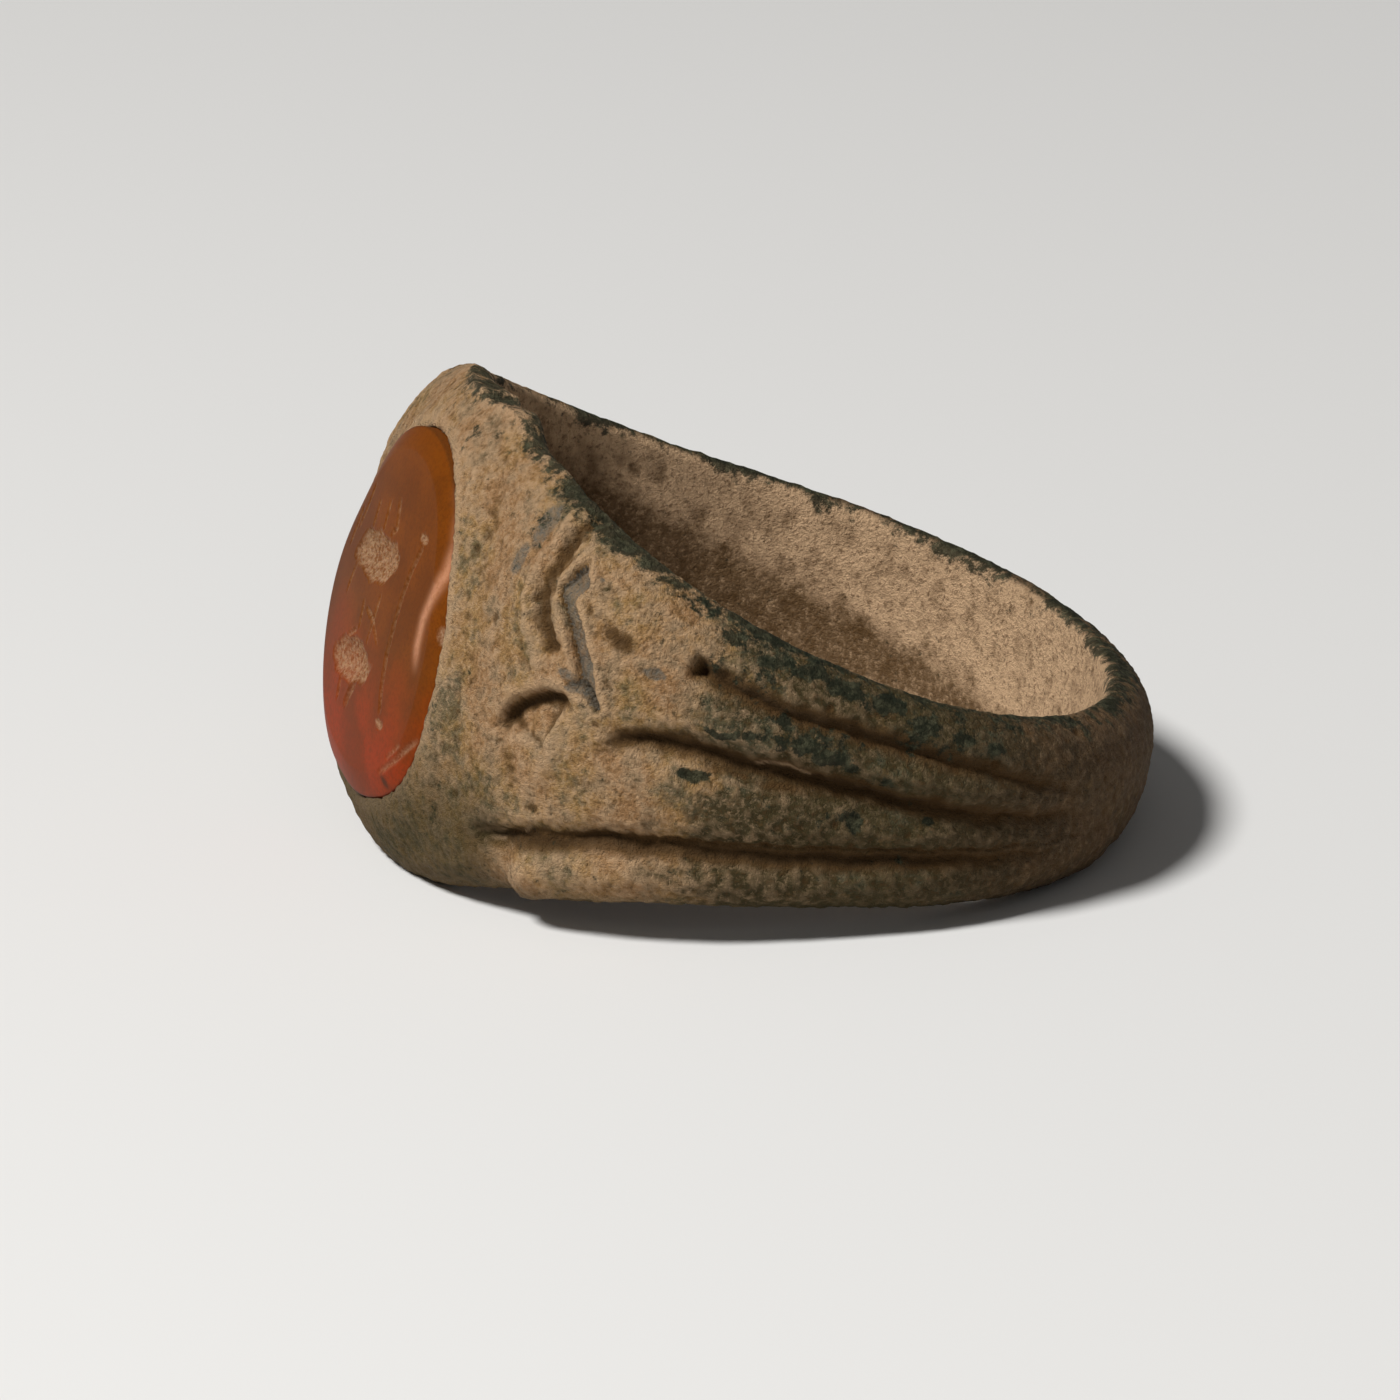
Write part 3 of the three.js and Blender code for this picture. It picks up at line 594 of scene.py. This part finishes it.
def finished_mesh(piece, name):
    """The piece with its modifiers made into a plain mesh, under a new name."""
    made = bpy.data.meshes.new_from_object(piece.evaluated_get(bpy.context.evaluated_depsgraph_get()))
    made.name = name
    bpy.data.objects.remove(piece)
    return linked(name, made)


bpy.context.view_layer.update()
ring = finished_mesh(casting, "bronze_ring_aged")
bpy.data.objects.remove(pocket)


def vertex_values(mesh, name, width):
    values = np.empty(len(mesh.vertices) * width)
    mesh.vertices.foreach_get(name, values)
    return values.reshape(-1, width)


def set_mask(mesh, name, values):
    layer = mesh.attributes.get(name) or mesh.attributes.new(name, "FLOAT", "POINT")
    layer.data.foreach_set("value", np.asarray(values, dtype=np.float32))


# Masks for the finish, from where each point lies on the ring. The skin starts a little way out of the
# bore, and the underside of the bezel and of the hoop gets painted shade
SKIN_STARTS = (0.02, 0.25)
UNDER_BEZEL = (0.15, 0.7)
UNDER_BEZEL_ENDS = (33, 42)
UNDER_HOOP = (0.86, 1.0)
own = (vertex_values(ring.data, "co", 3) * 1000 - np.array(lying.translation)) @ np.array(lying.to_3x3())
from_bezel, radius = np.degrees(np.abs(np.arctan2(own[:, 1], -own[:, 0]))), np.hypot(own[:, 0], own[:, 1])
up, side = own[:, 2], np.where(own[:, 1] < 0, -1, 1)
_, masks = carving(from_bezel, up, side)
outside = smoothstep(radius - bore_radius(from_bezel), *SKIN_STARTS)
for name, values in masks.items():
    set_mask(ring.data, name, values * outside)
set_mask(ring.data, "inside", 1 - outside)
set_mask(ring.data, "around", from_bezel / 180)
# The upper rim's height on either side, from the sections: the mask is 1 there, less the millimetres below
far_count = len(stepped(FAR_SECTIONS))
rim_heights = plain[:, -1, 1]
far_rim = np.interp(from_bezel, station_angles[:far_count, 0], rim_heights[:far_count])
near_rim = np.interp(from_bezel, station_angles[:far_count - 1:-1, 0], rim_heights[:far_count - 1:-1])
set_mask(ring.data, "rim", 1 - (np.where(side > 0, far_rim, near_rim) - up))
share_down = -up / half_height(from_bezel, up > 0, side)
under_bezel = smoothstep(share_down, *UNDER_BEZEL) * (1 - smoothstep(from_bezel, *UNDER_BEZEL_ENDS))
set_mask(ring.data, "below", np.maximum(under_bezel, smoothstep(share_down, *UNDER_HOOP)) * outside)

# What the ground did to the casting: low swellings, a gritty skin and small pits, over all of it. Each
# noise is (scale, detail, roughness)
SWELLING_NOISE = (0.6, 2.0, 0.5)
LUMP_NOISE = (1.1, 3.0, 0.55)
GRIT_NOISE = (3.2, 1.5, 0.7)
GRIT_IN_BORE = 0.35
PIT_CELLS = 1.1
CELLS_WITHOUT_PIT = 0.62
PIT_EDGE, PIT_FLOOR = 0.2, 0.06
aged = bpy.data.node_groups.new("ground_wear", "GeometryNodeTree")
for kind, name, socket, default in (
    ("INPUT", "Ring", "NodeSocketGeometry", None), ("INPUT", "Swelling", "NodeSocketFloat", 0.04),
    ("INPUT", "Lumps Inside", "NodeSocketFloat", 0.06), ("INPUT", "Grit", "NodeSocketFloat", 0.075),
    ("INPUT", "Pit Depth", "NodeSocketFloat", 0.07), ("INPUT", "Material", "NodeSocketMaterial", None),
    ("OUTPUT", "Ring", "NodeSocketGeometry", None),
):
    made = aged.interface.new_socket(name, in_out=kind, socket_type=socket)
    if default is not None:
        made.default_value = default


def add_node(tree, kind, *links, **settings):
    """A node with its settings, and its inputs linked or set in order; None leaves an input as it is."""
    made = tree.nodes.new(kind)
    for key, value in settings.items():
        setattr(made, key, value)
    for socket, value in zip(made.inputs, links):
        if value is None:
            continue
        if isinstance(value, bpy.types.NodeSocket):
            tree.links.new(value, socket)
        else:
            socket.default_value = value
    return made


def maths(tree, operation, *values):
    return add_node(tree, "ShaderNodeMath", *values, operation=operation).outputs[0]


def times(tree, first, second):
    return maths(tree, "MULTIPLY", first, second)


def scaled_vector(tree, vector, scale):
    made = add_node(tree, "ShaderNodeVectorMath", vector, operation="SCALE")
    if isinstance(scale, bpy.types.NodeSocket):
        tree.links.new(scale, made.inputs["Scale"])
    else:
        made.inputs["Scale"].default_value = scale
    return made.outputs[0]


def noise(tree, place, scale, detail=3.0, rough=0.55):
    made = tree.nodes.new("ShaderNodeTexNoise")
    tree.links.new(place, made.inputs["Vector"])
    made.inputs["Scale"].default_value = scale
    made.inputs["Detail"].default_value = detail
    made.inputs["Roughness"].default_value = rough
    return made.outputs[0]


def unevenness(tree, place, scale, detail, rough):
    """Noise about zero, from about -1 to 1."""
    return maths(tree, "MULTIPLY_ADD", noise(tree, place, scale, detail, rough), 2.0, -1.0)


def ranged(tree, value, low, high, to_low=0.0, to_high=1.0):
    return add_node(tree, "ShaderNodeMapRange", value, low, high, to_low, to_high).outputs[0]


entry = aged.nodes.new("NodeGroupInput")
leave = aged.nodes.new("NodeGroupOutput")
in_mm = scaled_vector(aged, aged.nodes.new("GeometryNodeInputPosition").outputs[0], 1000)
within = aged.nodes.new("GeometryNodeInputNamedAttribute")
within.data_type = "FLOAT"
within.inputs["Name"].default_value = "inside"
swelling = times(aged, unevenness(aged, in_mm, *SWELLING_NOISE), entry.outputs["Swelling"])
lumps = times(aged, unevenness(aged, in_mm, *LUMP_NOISE), entry.outputs["Lumps Inside"])
lumps = times(aged, lumps, within.outputs[0])
grit = times(aged, unevenness(aged, in_mm, *GRIT_NOISE), entry.outputs["Grit"])
grit = times(aged, grit, ranged(aged, within.outputs[0], 0.0, 1.0, 1.0, GRIT_IN_BORE))
cells = aged.nodes.new("ShaderNodeTexVoronoi")
aged.links.new(in_mm, cells.inputs["Vector"])
cells.inputs["Scale"].default_value = PIT_CELLS
cell_colour = add_node(aged, "FunctionNodeSeparateColor", cells.outputs["Color"])
chosen = maths(aged, "GREATER_THAN", cell_colour.outputs[0], CELLS_WITHOUT_PIT)
hole = times(aged, ranged(aged, cells.outputs["Distance"], PIT_EDGE, PIT_FLOOR), chosen)
pits = times(aged, hole, entry.outputs["Pit Depth"])
total = maths(aged, "ADD", swelling, lumps)
total = maths(aged, "SUBTRACT", maths(aged, "ADD", total, grit), pits)
shift = scaled_vector(aged, aged.nodes.new("GeometryNodeInputNormal").outputs[0], times(aged, total, 0.001))
moved = aged.nodes.new("GeometryNodeSetPosition")
aged.links.new(entry.outputs["Ring"], moved.inputs["Geometry"])
aged.links.new(shift, moved.inputs["Offset"])
real = add_node(aged, "GeometryNodeRealizeInstances", moved.outputs[0])
finish = add_node(aged, "GeometryNodeSetMaterial", real.outputs[0])
aged.links.new(entry.outputs["Material"], finish.inputs["Material"])
aged.links.new(finish.outputs[0], leave.inputs[0])

# Its skin: buff earth over green and black corrosion, browner in the cuts, dark along worn rims
EARTH = (0.33, 0.180, 0.078)
EARTH_PALE = (0.55, 0.36, 0.205)
OCHRE = (0.35, 0.208, 0.074)
EARTH_BROWN = (0.095, 0.048, 0.015)
EARTH_DEEP = (0.030, 0.016, 0.006)
GREEN_BLACK = (0.017, 0.021, 0.011)
GREEN_GREY = (0.080, 0.080, 0.045)
OLIVE = (0.043, 0.036, 0.012)
BLUE_GREY = (0.150, 0.133, 0.104)
BACK_BROWN = (0.080, 0.050, 0.026)
# The bore's buff earth, paler than the outside's: real buff earth, made paler still as painted light against
# the shade the bore gets
INNER_BUFF = (0.62, 0.41, 0.24)


def bare_material(name):
    """A material of one plain shader: the material, its node tree and the shader."""
    made = bpy.data.materials.new(name)
    made.use_nodes = True
    nodes = made.node_tree
    nodes.nodes.clear()
    plain_shader = nodes.nodes.new("ShaderNodeBsdfPrincipled")
    out = nodes.nodes.new("ShaderNodeOutputMaterial")
    nodes.links.new(plain_shader.outputs[0], out.inputs[0])
    return made, nodes, plain_shader


patina, tree, shader = bare_material("sandy_bronze_patina")


def object_place(tree):
    return scaled_vector(tree, tree.nodes.new("ShaderNodeTexCoord").outputs["Object"], 1000)


def mask(name):
    return add_node(tree, "ShaderNodeAttribute", attribute_name=name).outputs["Fac"]


def blended(share, first, second):
    made = tree.nodes.new("ShaderNodeMix")
    made.data_type = "RGBA"
    for socket, value in zip((made.inputs[0], made.inputs[6], made.inputs[7]), (share, first, second)):
        if isinstance(value, bpy.types.NodeSocket):
            tree.links.new(value, socket)
        else:
            socket.default_value = value if isinstance(value, float) else (*value, 1)
    return made.outputs[2]


def cover(value, start, full, most=1.0):
    """How far a finish covers what is under it: none at start, and most where the value is full."""
    return ranged(tree, value, start, full, 0.0, most)


def joined(value, amount, other):
    """A share of a value added to another one."""
    return maths(tree, "MULTIPLY_ADD", value, amount, other)


def patchy(name, field, start, full, uneven):
    """A mask with ragged edges: where it and a noise together pass a level."""
    return cover(maths(tree, "ADD", mask(name), joined(field, uneven, -0.5 * uneven)), start, full)


def roughened(shader, height, strength, distance):
    """Fine relief, too small for the mesh."""
    bump = add_node(tree, "ShaderNodeBump")
    bump.inputs["Strength"].default_value = strength
    bump.inputs["Distance"].default_value = distance
    tree.links.new(height, bump.inputs["Height"])
    tree.links.new(bump.outputs[0], shader.inputs["Normal"])


spot = object_place(tree)
broad = noise(tree, spot, 0.45, 3.0)
mottle = noise(tree, spot, 1.3, 5.0, 0.7)
ragged = noise(tree, spot, 2.2, 6.0, 0.75)
grain = noise(tree, spot, 7.0, 4.0, 0.72)
speck = noise(tree, spot, 3.6, 5.0, 0.7)
around_hoop, relief, inside = mask("around"), mask("relief"), mask("inside")
# Buff earth in clouds, olive between the ribs, brown at the back of the hoop
olive_zone = times(tree, cover(around_hoop, 0.31, 0.4), cover(around_hoop, 0.7, 0.56))
colour = blended(cover(broad, 0.42, 0.6), EARTH, OCHRE)
colour = blended(cover(mottle, 0.44, 0.64), colour, EARTH_PALE)
colour = blended(cover(joined(olive_zone, 0.35, mottle), 0.5, 0.74, 0.95), colour, OLIVE)
colour = blended(cover(joined(speck, 0.5, broad), 0.8, 0.92, 0.7), colour, GREEN_GREY)
colour = blended(times(tree, cover(around_hoop, 0.5, 0.64), 0.8), colour, BACK_BROWN)
# The bore's buff earth is paler than the outside's, partly painted light against the shade it gets, and
# painted shadow of the bezel darkens its lower part towards the bezel
bore_earth = blended(cover(mottle, 0.52, 0.78, 0.7), INNER_BUFF, EARTH_BROWN)
colour = blended(inside, colour, bore_earth)
# Painted shadow cast by the bezel: deeper below the rim and nearer the bezel
shadow_depth = maths(tree, "SUBTRACT", joined(around_hoop, -4.3, 1.0), mask("rim"))
bore_painted_shadow = times(tree, inside, cover(joined(mottle, 1.8, shadow_depth), 0.25, 1.1, 0.85))
colour = blended(bore_painted_shadow, colour, EARTH_BROWN)
# Grain, brown hollows and pale crests, with less pale earth left on the hoop than on the bezel
earth_left = maths(tree, "MAXIMUM", ranged(tree, around_hoop, 0.3, 0.48, 1.0, 0.3), inside)
colour = blended(cover(grain, 0.52, 0.66, 0.65), colour, EARTH_BROWN)
colour = blended(times(tree, cover(grain, 0.48, 0.34, 0.55), earth_left), colour, EARTH_PALE)
colour = blended(cover(relief, -0.1, -0.9, 0.8), colour, EARTH_BROWN)
colour = blended(times(tree, cover(relief, 0.15, 1.0, 0.55), earth_left), colour, EARTH_PALE)
# Stains of the carving; the brown mask also holds painted shadow along the eye-shaped hollow's arch
colour = blended(times(tree, patchy("brown", ragged, 0.3, 0.75, 0.6), 0.85), colour, EARTH_BROWN)
colour = blended(times(tree, cover(mask("brown"), 0.75, 1.0), 0.5), colour, EARTH_DEEP)
bare_metal = times(tree, patchy("grey", ragged, 0.4, 0.6, 0.9), ranged(tree, grain, 0.36, 0.64, 1.0, 0.35))
colour = blended(bare_metal, colour, BLUE_GREY)
colour = blended(times(tree, mask("pale"), 0.7), colour, EARTH_PALE)
# Green and black corrosion along the upper rim, in spots, and specks of it all over
rim_dark = maths(tree, "ADD", mask("rim"), joined(ragged, 2.2, -1.1))
rim_dark = joined(broad, 1.6, maths(tree, "SUBTRACT", rim_dark, 0.8))
stain = blended(cover(speck, 0.48, 0.64), GREEN_BLACK, GREEN_GREY)
colour = blended(times(tree, cover(rim_dark, 0.74, 0.98), 0.92), colour, stain)
# Besides corrosion spots, the dark mask holds the painted shadow along the facet's left edge
colour = blended(times(tree, patchy("dark", ragged, 0.42, 0.62, 2.2), 0.92), colour, stain)
colour = blended(cover(speck, 0.62, 0.7, 0.7), colour, GREEN_BLACK)
# Painted shade: the undersides of the bezel and of the hoop are darkened towards olive
colour = blended(times(tree, mask("below"), 0.72), colour, OLIVE)
tree.links.new(colour, shader.inputs["Base Color"])
shader.inputs["Roughness"].default_value = 0.78
shader.inputs["Specular IOR Level"].default_value = 0.12
fine = maths(tree, "ADD", times(tree, grain, 0.7), times(tree, noise(tree, spot, 13.0, 3.0, 0.65), 0.4))
roughened(shader, fine, 1.0, 0.0003)

wear = ring.modifiers.new("ground_wear", "NODES")
wear.node_group = aged
for item in aged.interface.items_tree:
    if item.in_out == "INPUT" and item.name == "Material":
        wear[item.identifier] = patina
ring = finished_mesh(ring, "bronze_ring_body")

# Where it rests on the floor, the ring is worn flat
places = vertex_values(ring.data, "co", 3)
places[:, 2] = np.maximum(places[:, 2], 0)
ring.data.vertices.foreach_set("co", places.ravel())
ring.data.update()

# How far each point stands out of the smoothed surface: earth lies in the hollows, and crests are paler
RELIEF_ROUNDS = 14
RELIEF_FULL = 0.035
places *= 1000
ends = np.empty(len(ring.data.edges) * 2, dtype=np.int64)
ring.data.edges.foreach_get("vertices", ends)
ends = ends.reshape(-1, 2)
first_end = np.concatenate([ends[:, 0], ends[:, 1]])
second_end = np.concatenate([ends[:, 1], ends[:, 0]])
neighbours = np.bincount(first_end, minlength=len(places))
smooth = places.copy()
for _ in range(RELIEF_ROUNDS):
    summed = [np.bincount(first_end, smooth[second_end, axis], len(places)) for axis in range(3)]
    smooth = 0.5 * smooth + 0.5 * np.stack(summed, 1) / neighbours[:, None]
stands_out = ((places - smooth) * vertex_values(ring.data, "normal", 3)).sum(1)
set_mask(ring.data, "relief", np.clip(stands_out / RELIEF_FULL, -1, 1))
ring.data.polygons.foreach_set("use_smooth", [True] * len(ring.data.polygons))
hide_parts("bronze_ring")
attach(ring, "root")


# The stone: a carnelian cut as a low dome with a bevelled edge, engraved with a small figure by drill
# and wheel. It sits flush in its seat, held by the metal around it.
STONE_BEVEL = 0.18
BEVEL_REACH = 0.6
STONE_DOME = 0.27
STONE_BACK = SEAT_FLOOR - 0.02
STONE_SIDE = 0.5
RINGS, SPOKES = 120, 420
HOLLOW_WANDER = 0.14
HOLLOW_ROUGHNESS = 0.012
STREAK_WIDTH = 0.2
# Engraving, in millimetres across the bezel to the far side and up: (across, up, half sizes, turn, depth)
DRILLED = (
    (1.25, 1.02, 1.85, 0.66, -10, 0.26), (1.3, -1.82, 1.75, 0.6, -10, 0.26),
    (-1.72, 2.5, 0.3, 0.13, 0, 0.08), (-1.8, -2.48, 0.3, 0.13, 0, 0.06),
    (-4.3, 0.75, 0.5, 0.3, 0, 0.07), (-4.65, -0.1, 0.35, 0.22, 0, 0.06),
)
# Wheel-cut lines, as (points across and up, half width, depth)
CUT_LINES = (
   
    ([[-1.72, 2.24], [-1.48, 1.56], [-1.36, 0.88], [-1.32, 0.16], [-1.32, -0.8],
      [-1.48, -1.6], [-1.68, -2.16]], 0.1, 0.09),
    ([[3.04, 2.36], [3.16, 1.68], [3.4, 1.12]], 0.07, 0.05),
    ([[0.64, 2.72], [0.28, 2.12], [0.52, 1.88]], 0.09, 0.06), ([[1.32, 2.48], [1.24, 1.8]], 0.07, 0.05),
    ([[2.16, 2.2], [2.16, 1.56]], 0.07, 0.05), ([[3.52, 1.56], [3.8, 0.52]], 0.07, 0.05),
    ([[1.24, -0.2], [1.16, -0.88]], 0.07, 0.05),
    ([[0.84, -0.28], [0.2, -0.4], [-0.4, -0.75]], 0.08, 0.06),
    ([[1.4, -1.04], [1.96, -1.4]], 0.09, 0.05),
    ([[0.64, -2.28], [0.9, -2.62], [1.08, -2.92]], 0.16, 0.09),
    ([[1.84, -2.5], [1.84, -3.04]], 0.1, 0.06),
    ([[-4.12, -2.08], [-3.28, -2.92], [-2.4, -3.56]], 0.09, 0.06),
    ([[-2.76, -3.04], [-3.4, -2.48]], 0.07, 0.04), ([[2.7, 0.3], [2.95, -0.5]], 0.07, 0.04),
    ([[0.1, 0.3], [0.3, -1.0]], 0.07, 0.04),
)
# Where a painted highlight runs pale along the bevel, as points across and up
HIGHLIGHT_STREAK = [
    [-1.6, 4.5], [-2.76, 3.8], [-3.2, 2.96], [-3.3, 2.2], [-3.16, 1.52], [-3.0, 0.8], [-3.08, 0.08],
    [-3.4, -0.7],
]


def turned_spot(across, up, spot):
    """Distance from an oval's middle as a share of its half sizes."""
    middle_across, middle_up, half_across, half_up, turn = spot
    cosine, sine = math.cos(math.radians(turn)), math.sin(math.radians(turn))
    shift_across, shift_up = across - middle_across, up - middle_up
    along = (shift_across * cosine + shift_up * sine) / half_across
    return np.hypot(along, (shift_up * cosine - shift_across * sine) / half_up)


def engraving(across, up):
    """Depth cut into the stone's face, and masks for rough hollows and for the painted highlight streak."""
    depth = np.zeros(across.shape)
    rough = np.zeros(across.shape)
    for *spot, deep in DRILLED:
        share = turned_spot(across, up, spot) * (1 + HOLLOW_WANDER * wander(across, up, spot[1]))
        depth = np.maximum(depth, deep * np.clip(1 - share**2, 0, None))
        rough = np.maximum(rough, 1 - smoothstep(share, 0.8, 1.05))
    for line, width, deep in CUT_LINES:
        distance, _, share = points_distance(across, up, np.array(line))
        ends = smoothstep(share, -0.2, 0.2) * (1 - smoothstep(share, 0.85, 1.1))
        depth = np.maximum(depth, deep * ends * np.clip(1 - (distance / width) ** 2, 0, None))
        rough = np.maximum(rough, 0.7 * ends * bell(distance, width * 0.8))
    distance, _, share = points_distance(across, up, np.array(HIGHLIGHT_STREAK))
    fading = smoothstep(share, 0.05, 0.35) * (1 - smoothstep(share, 0.85, 1.0))
    streak = bell(distance, STREAK_WIDTH) * fading
    return depth, rough, streak


shares = np.linspace(0, 1, RINGS + 1)[1:]
angles = np.linspace(0, 2 * np.pi, SPOKES, endpoint=False)
grid_share = np.repeat(shares[:, None], SPOKES, 1)
face_across = STONE_WIDTH / 2 * grid_share * np.cos(angles)
face_up = STONE_LENGTH / 2 * grid_share * np.sin(angles)
on_face = on_bezel(face_across, face_up, np.zeros_like(face_across))
depth, rough, streak = engraving(on_face[..., 1], on_face[..., 2])
bevel = STONE_BEVEL * np.clip((1 - grid_share) * STONE_WIDTH / 2 / BEVEL_REACH, 0, 1)
bevel *= 1.5 - 0.5 * bevel / STONE_BEVEL
over_edge = bevel + STONE_DOME * (1 - grid_share**2)
grating = np.sin(face_across * 31) + np.sin(face_up * 37 + 2) + np.sin((face_across + face_up) * 23)
roughness = HOLLOW_ROUGHNESS * rough * grating
on_face[..., 0] = STONE_EDGE - over_edge + depth * (1 - smoothstep(grid_share, 0.96, 1.0)) + roughness
under = [(1.0, STONE_EDGE + STONE_SIDE), (1.0, STONE_BACK), (0.5, STONE_BACK)]
rim_across, rim_up = STONE_WIDTH / 2 * np.cos(angles), STONE_LENGTH / 2 * np.sin(angles)
under_rows = [on_bezel(rim_across * share, rim_up * share, np.full(SPOKES, depth)) for share, depth in under]
top_middle = STONE_EDGE - STONE_BEVEL - STONE_DOME
middles = on_bezel(np.zeros(2), np.zeros(2), np.array([top_middle, STONE_BACK]))
stone_points = np.concatenate([on_face.reshape(-1, 3), *under_rows, middles])
row_count = RINGS + len(under)
stone_faces = []
for i in range(row_count - 1):
    for j in range(SPOKES):
        k = (j + 1) % SPOKES
        stone_faces.append((i * SPOKES + j, i * SPOKES + k, (i + 1) * SPOKES + k, (i + 1) * SPOKES + j))
last = (row_count - 1) * SPOKES
for j in range(SPOKES):
    k = (j + 1) % SPOKES
    stone_faces.append((row_count * SPOKES, k, j))
    stone_faces.append((row_count * SPOKES + 1, last + j, last + k))
stone = linked("carnelian_intaglio", placed_mesh("carnelian_intaglio", stone_points, stone_faces))
face_outwards(stone.data)
stone.data.polygons.foreach_set("use_smooth", [True] * len(stone.data.polygons))
padding = np.zeros(len(under) * SPOKES + 2)


def set_face_mask(name, values, elsewhere=0.0):
    """A mask of the engraved face; the hidden side has one value."""
    set_mask(stone.data, name, np.concatenate([values.ravel(), padding + elsewhere]))


EDGE_DIRT = (-2.72, -3.7, 0.34, 0.16, 20)
set_face_mask("rough", rough)
set_face_mask("streak", streak)
set_face_mask("up_stone", on_face[..., 2] / STONE_LENGTH + 0.5, 0.5)
set_face_mask("across_stone", on_face[..., 1] / STONE_LENGTH + 0.5, 0.5)
dirt = 1 - smoothstep(turned_spot(on_face[..., 1], on_face[..., 2], EDGE_DIRT), 0.2, 1.2)
set_face_mask("dirt", np.maximum(dirt, 0.5 * smoothstep(grid_share, 0.985, 1.0)))

CARNELIAN = (0.145, 0.037, 0.003)
CARNELIAN_GLOW = (0.22, 0.026, 0.003)
CARNELIAN_DEEP = (0.075, 0.020, 0.003)
HIGHLIGHT_PALE = (0.42, 0.19, 0.10)
HOLLOW_PALE = (0.30, 0.185, 0.105)
gem, tree, shader = bare_material("carnelian")
spot = object_place(tree)
clouds = noise(tree, spot, 0.5, 3.0)
grain = noise(tree, spot, 9.0, 3.0, 0.7)
# Painted glow: the stone turns a brighter red towards the lower end of its face, as if lit through
colour = blended(cover(joined(clouds, 0.3, mask("up_stone")), 0.62, 0.3), CARNELIAN, CARNELIAN_GLOW)
colour = blended(cover(mask("across_stone"), 0.72, 0.95, 0.6), colour, CARNELIAN_DEEP)
colour = blended(cover(clouds, 0.46, 0.62, 0.45), colour, CARNELIAN_DEEP)
colour = blended(cover(grain, 0.45, 0.62, 0.4), colour, CARNELIAN_DEEP)
# Painted highlight: a pale streak along the bevel
streak_highlight = times(tree, mask("streak"), ranged(tree, grain, 0.3, 0.6, 0.6, 0.95))
colour = blended(streak_highlight, colour, HIGHLIGHT_PALE)
ground = times(tree, mask("rough"), ranged(tree, grain, 0.4, 0.6, 0.8, 0.2))
colour = blended(ground, colour, HOLLOW_PALE)
colour = blended(times(tree, mask("dirt"), 0.8), colour, EARTH_DEEP)
tree.links.new(colour, shader.inputs["Base Color"])
tree.links.new(ranged(tree, mask("rough"), 0.0, 1.0, 0.42, 0.75), shader.inputs["Roughness"])
shader.inputs["Specular IOR Level"].default_value = 0.03
shader.inputs["Subsurface Weight"].default_value = 0.1
shader.inputs["Subsurface Radius"].default_value = (1.0, 0.3, 0.08)
shader.inputs["Subsurface Scale"].default_value = 0.0012
roughened(shader, times(tree, grain, mask("rough")), 0.35, 0.00006)
stone.data.materials.append(gem)
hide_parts("carnelian_stone")
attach(stone, "root")


# The surface it lies on: plain pale paper, level under the whole ring. It is no part of the object.
FLOOR_HALF = 0.6
PAPER_WHITE = (0.70, 0.69, 0.67)
floor_mesh = bpy.data.meshes.new("studio_floor")
corners = [(FLOOR_HALF * x, FLOOR_HALF * y, 0) for x, y in ((-1, -1), (1, -1), (1, 1), (-1, 1))]
floor_mesh.from_pydata(corners, [], [(0, 1, 2, 3)])
floor = linked("studio_floor", floor_mesh)
paper = bpy.data.materials.new("pale_paper")
paper.use_nodes = True
paper_shader = paper.node_tree.nodes["Principled BSDF"]
paper_shader.inputs["Base Color"].default_value = (*PAPER_WHITE, 1)
paper_shader.inputs["Roughness"].default_value = 0.9
floor.data.materials.append(paper)

# Camera: a long lens, looking down a little on the near shoulder
CAMERA_AIM = (0.001880, 0.009801, 0.0)
CAMERA_DISTANCE = 0.320
CAMERA_TURN = 17.26
CAMERA_ELEVATION = 17.44
CAMERA_LENS = 308.6
CAMERA_SENSOR = 36
camera_data = bpy.data.cameras.new("camera")
camera_data.lens = CAMERA_LENS
camera_data.sensor_width = CAMERA_SENSOR
camera = linked("camera", camera_data)
turn, tip_down = math.radians(CAMERA_TURN), math.radians(CAMERA_ELEVATION)
level = math.cos(tip_down)
back_along = Vector((-math.sin(turn) * level, -math.cos(turn) * level, math.sin(tip_down)))
camera.location = Vector(CAMERA_AIM) + CAMERA_DISTANCE * back_along
camera.rotation_euler = (math.pi / 2 - tip_down, 0, -turn)
bpy.context.scene.camera = camera

# Light: one large soft lamp from the upper left, a weak one from the front, and a pale room
right = Vector((math.cos(turn), -math.sin(turn), 0))
front = Vector((-math.sin(turn), -math.cos(turn), 0))
upwards = Vector((0, 0, 1))


def soft_lamp(name, direction, distance, size, power):
    data = bpy.data.lights.new(name, "AREA")
    data.shape = "DISK"
    data.size = size
    data.energy = power
    lamp = linked(name, data)
    lamp.location = direction.normalized() * distance
    lamp.rotation_euler = (-direction).to_track_quat("-Z", "Y").to_euler()


soft_lamp("key_lamp", -0.6 * right + 0.45 * front + 1.0 * upwards, distance=0.5, size=0.13, power=3.1)
soft_lamp("fill_lamp", 0.2 * right + 1.0 * front + 0.6 * upwards, distance=0.7, size=0.5, power=0.25)
ROOM_LIGHT = 0.09
world = bpy.data.worlds.new("pale_room")
world.use_nodes = True
room = world.node_tree.nodes["Background"]
room.inputs["Color"].default_value = (1, 1, 1, 1)
room.inputs["Strength"].default_value = ROOM_LIGHT
bpy.context.scene.world = world
bpy.context.scene.view_settings.view_transform = "Standard"
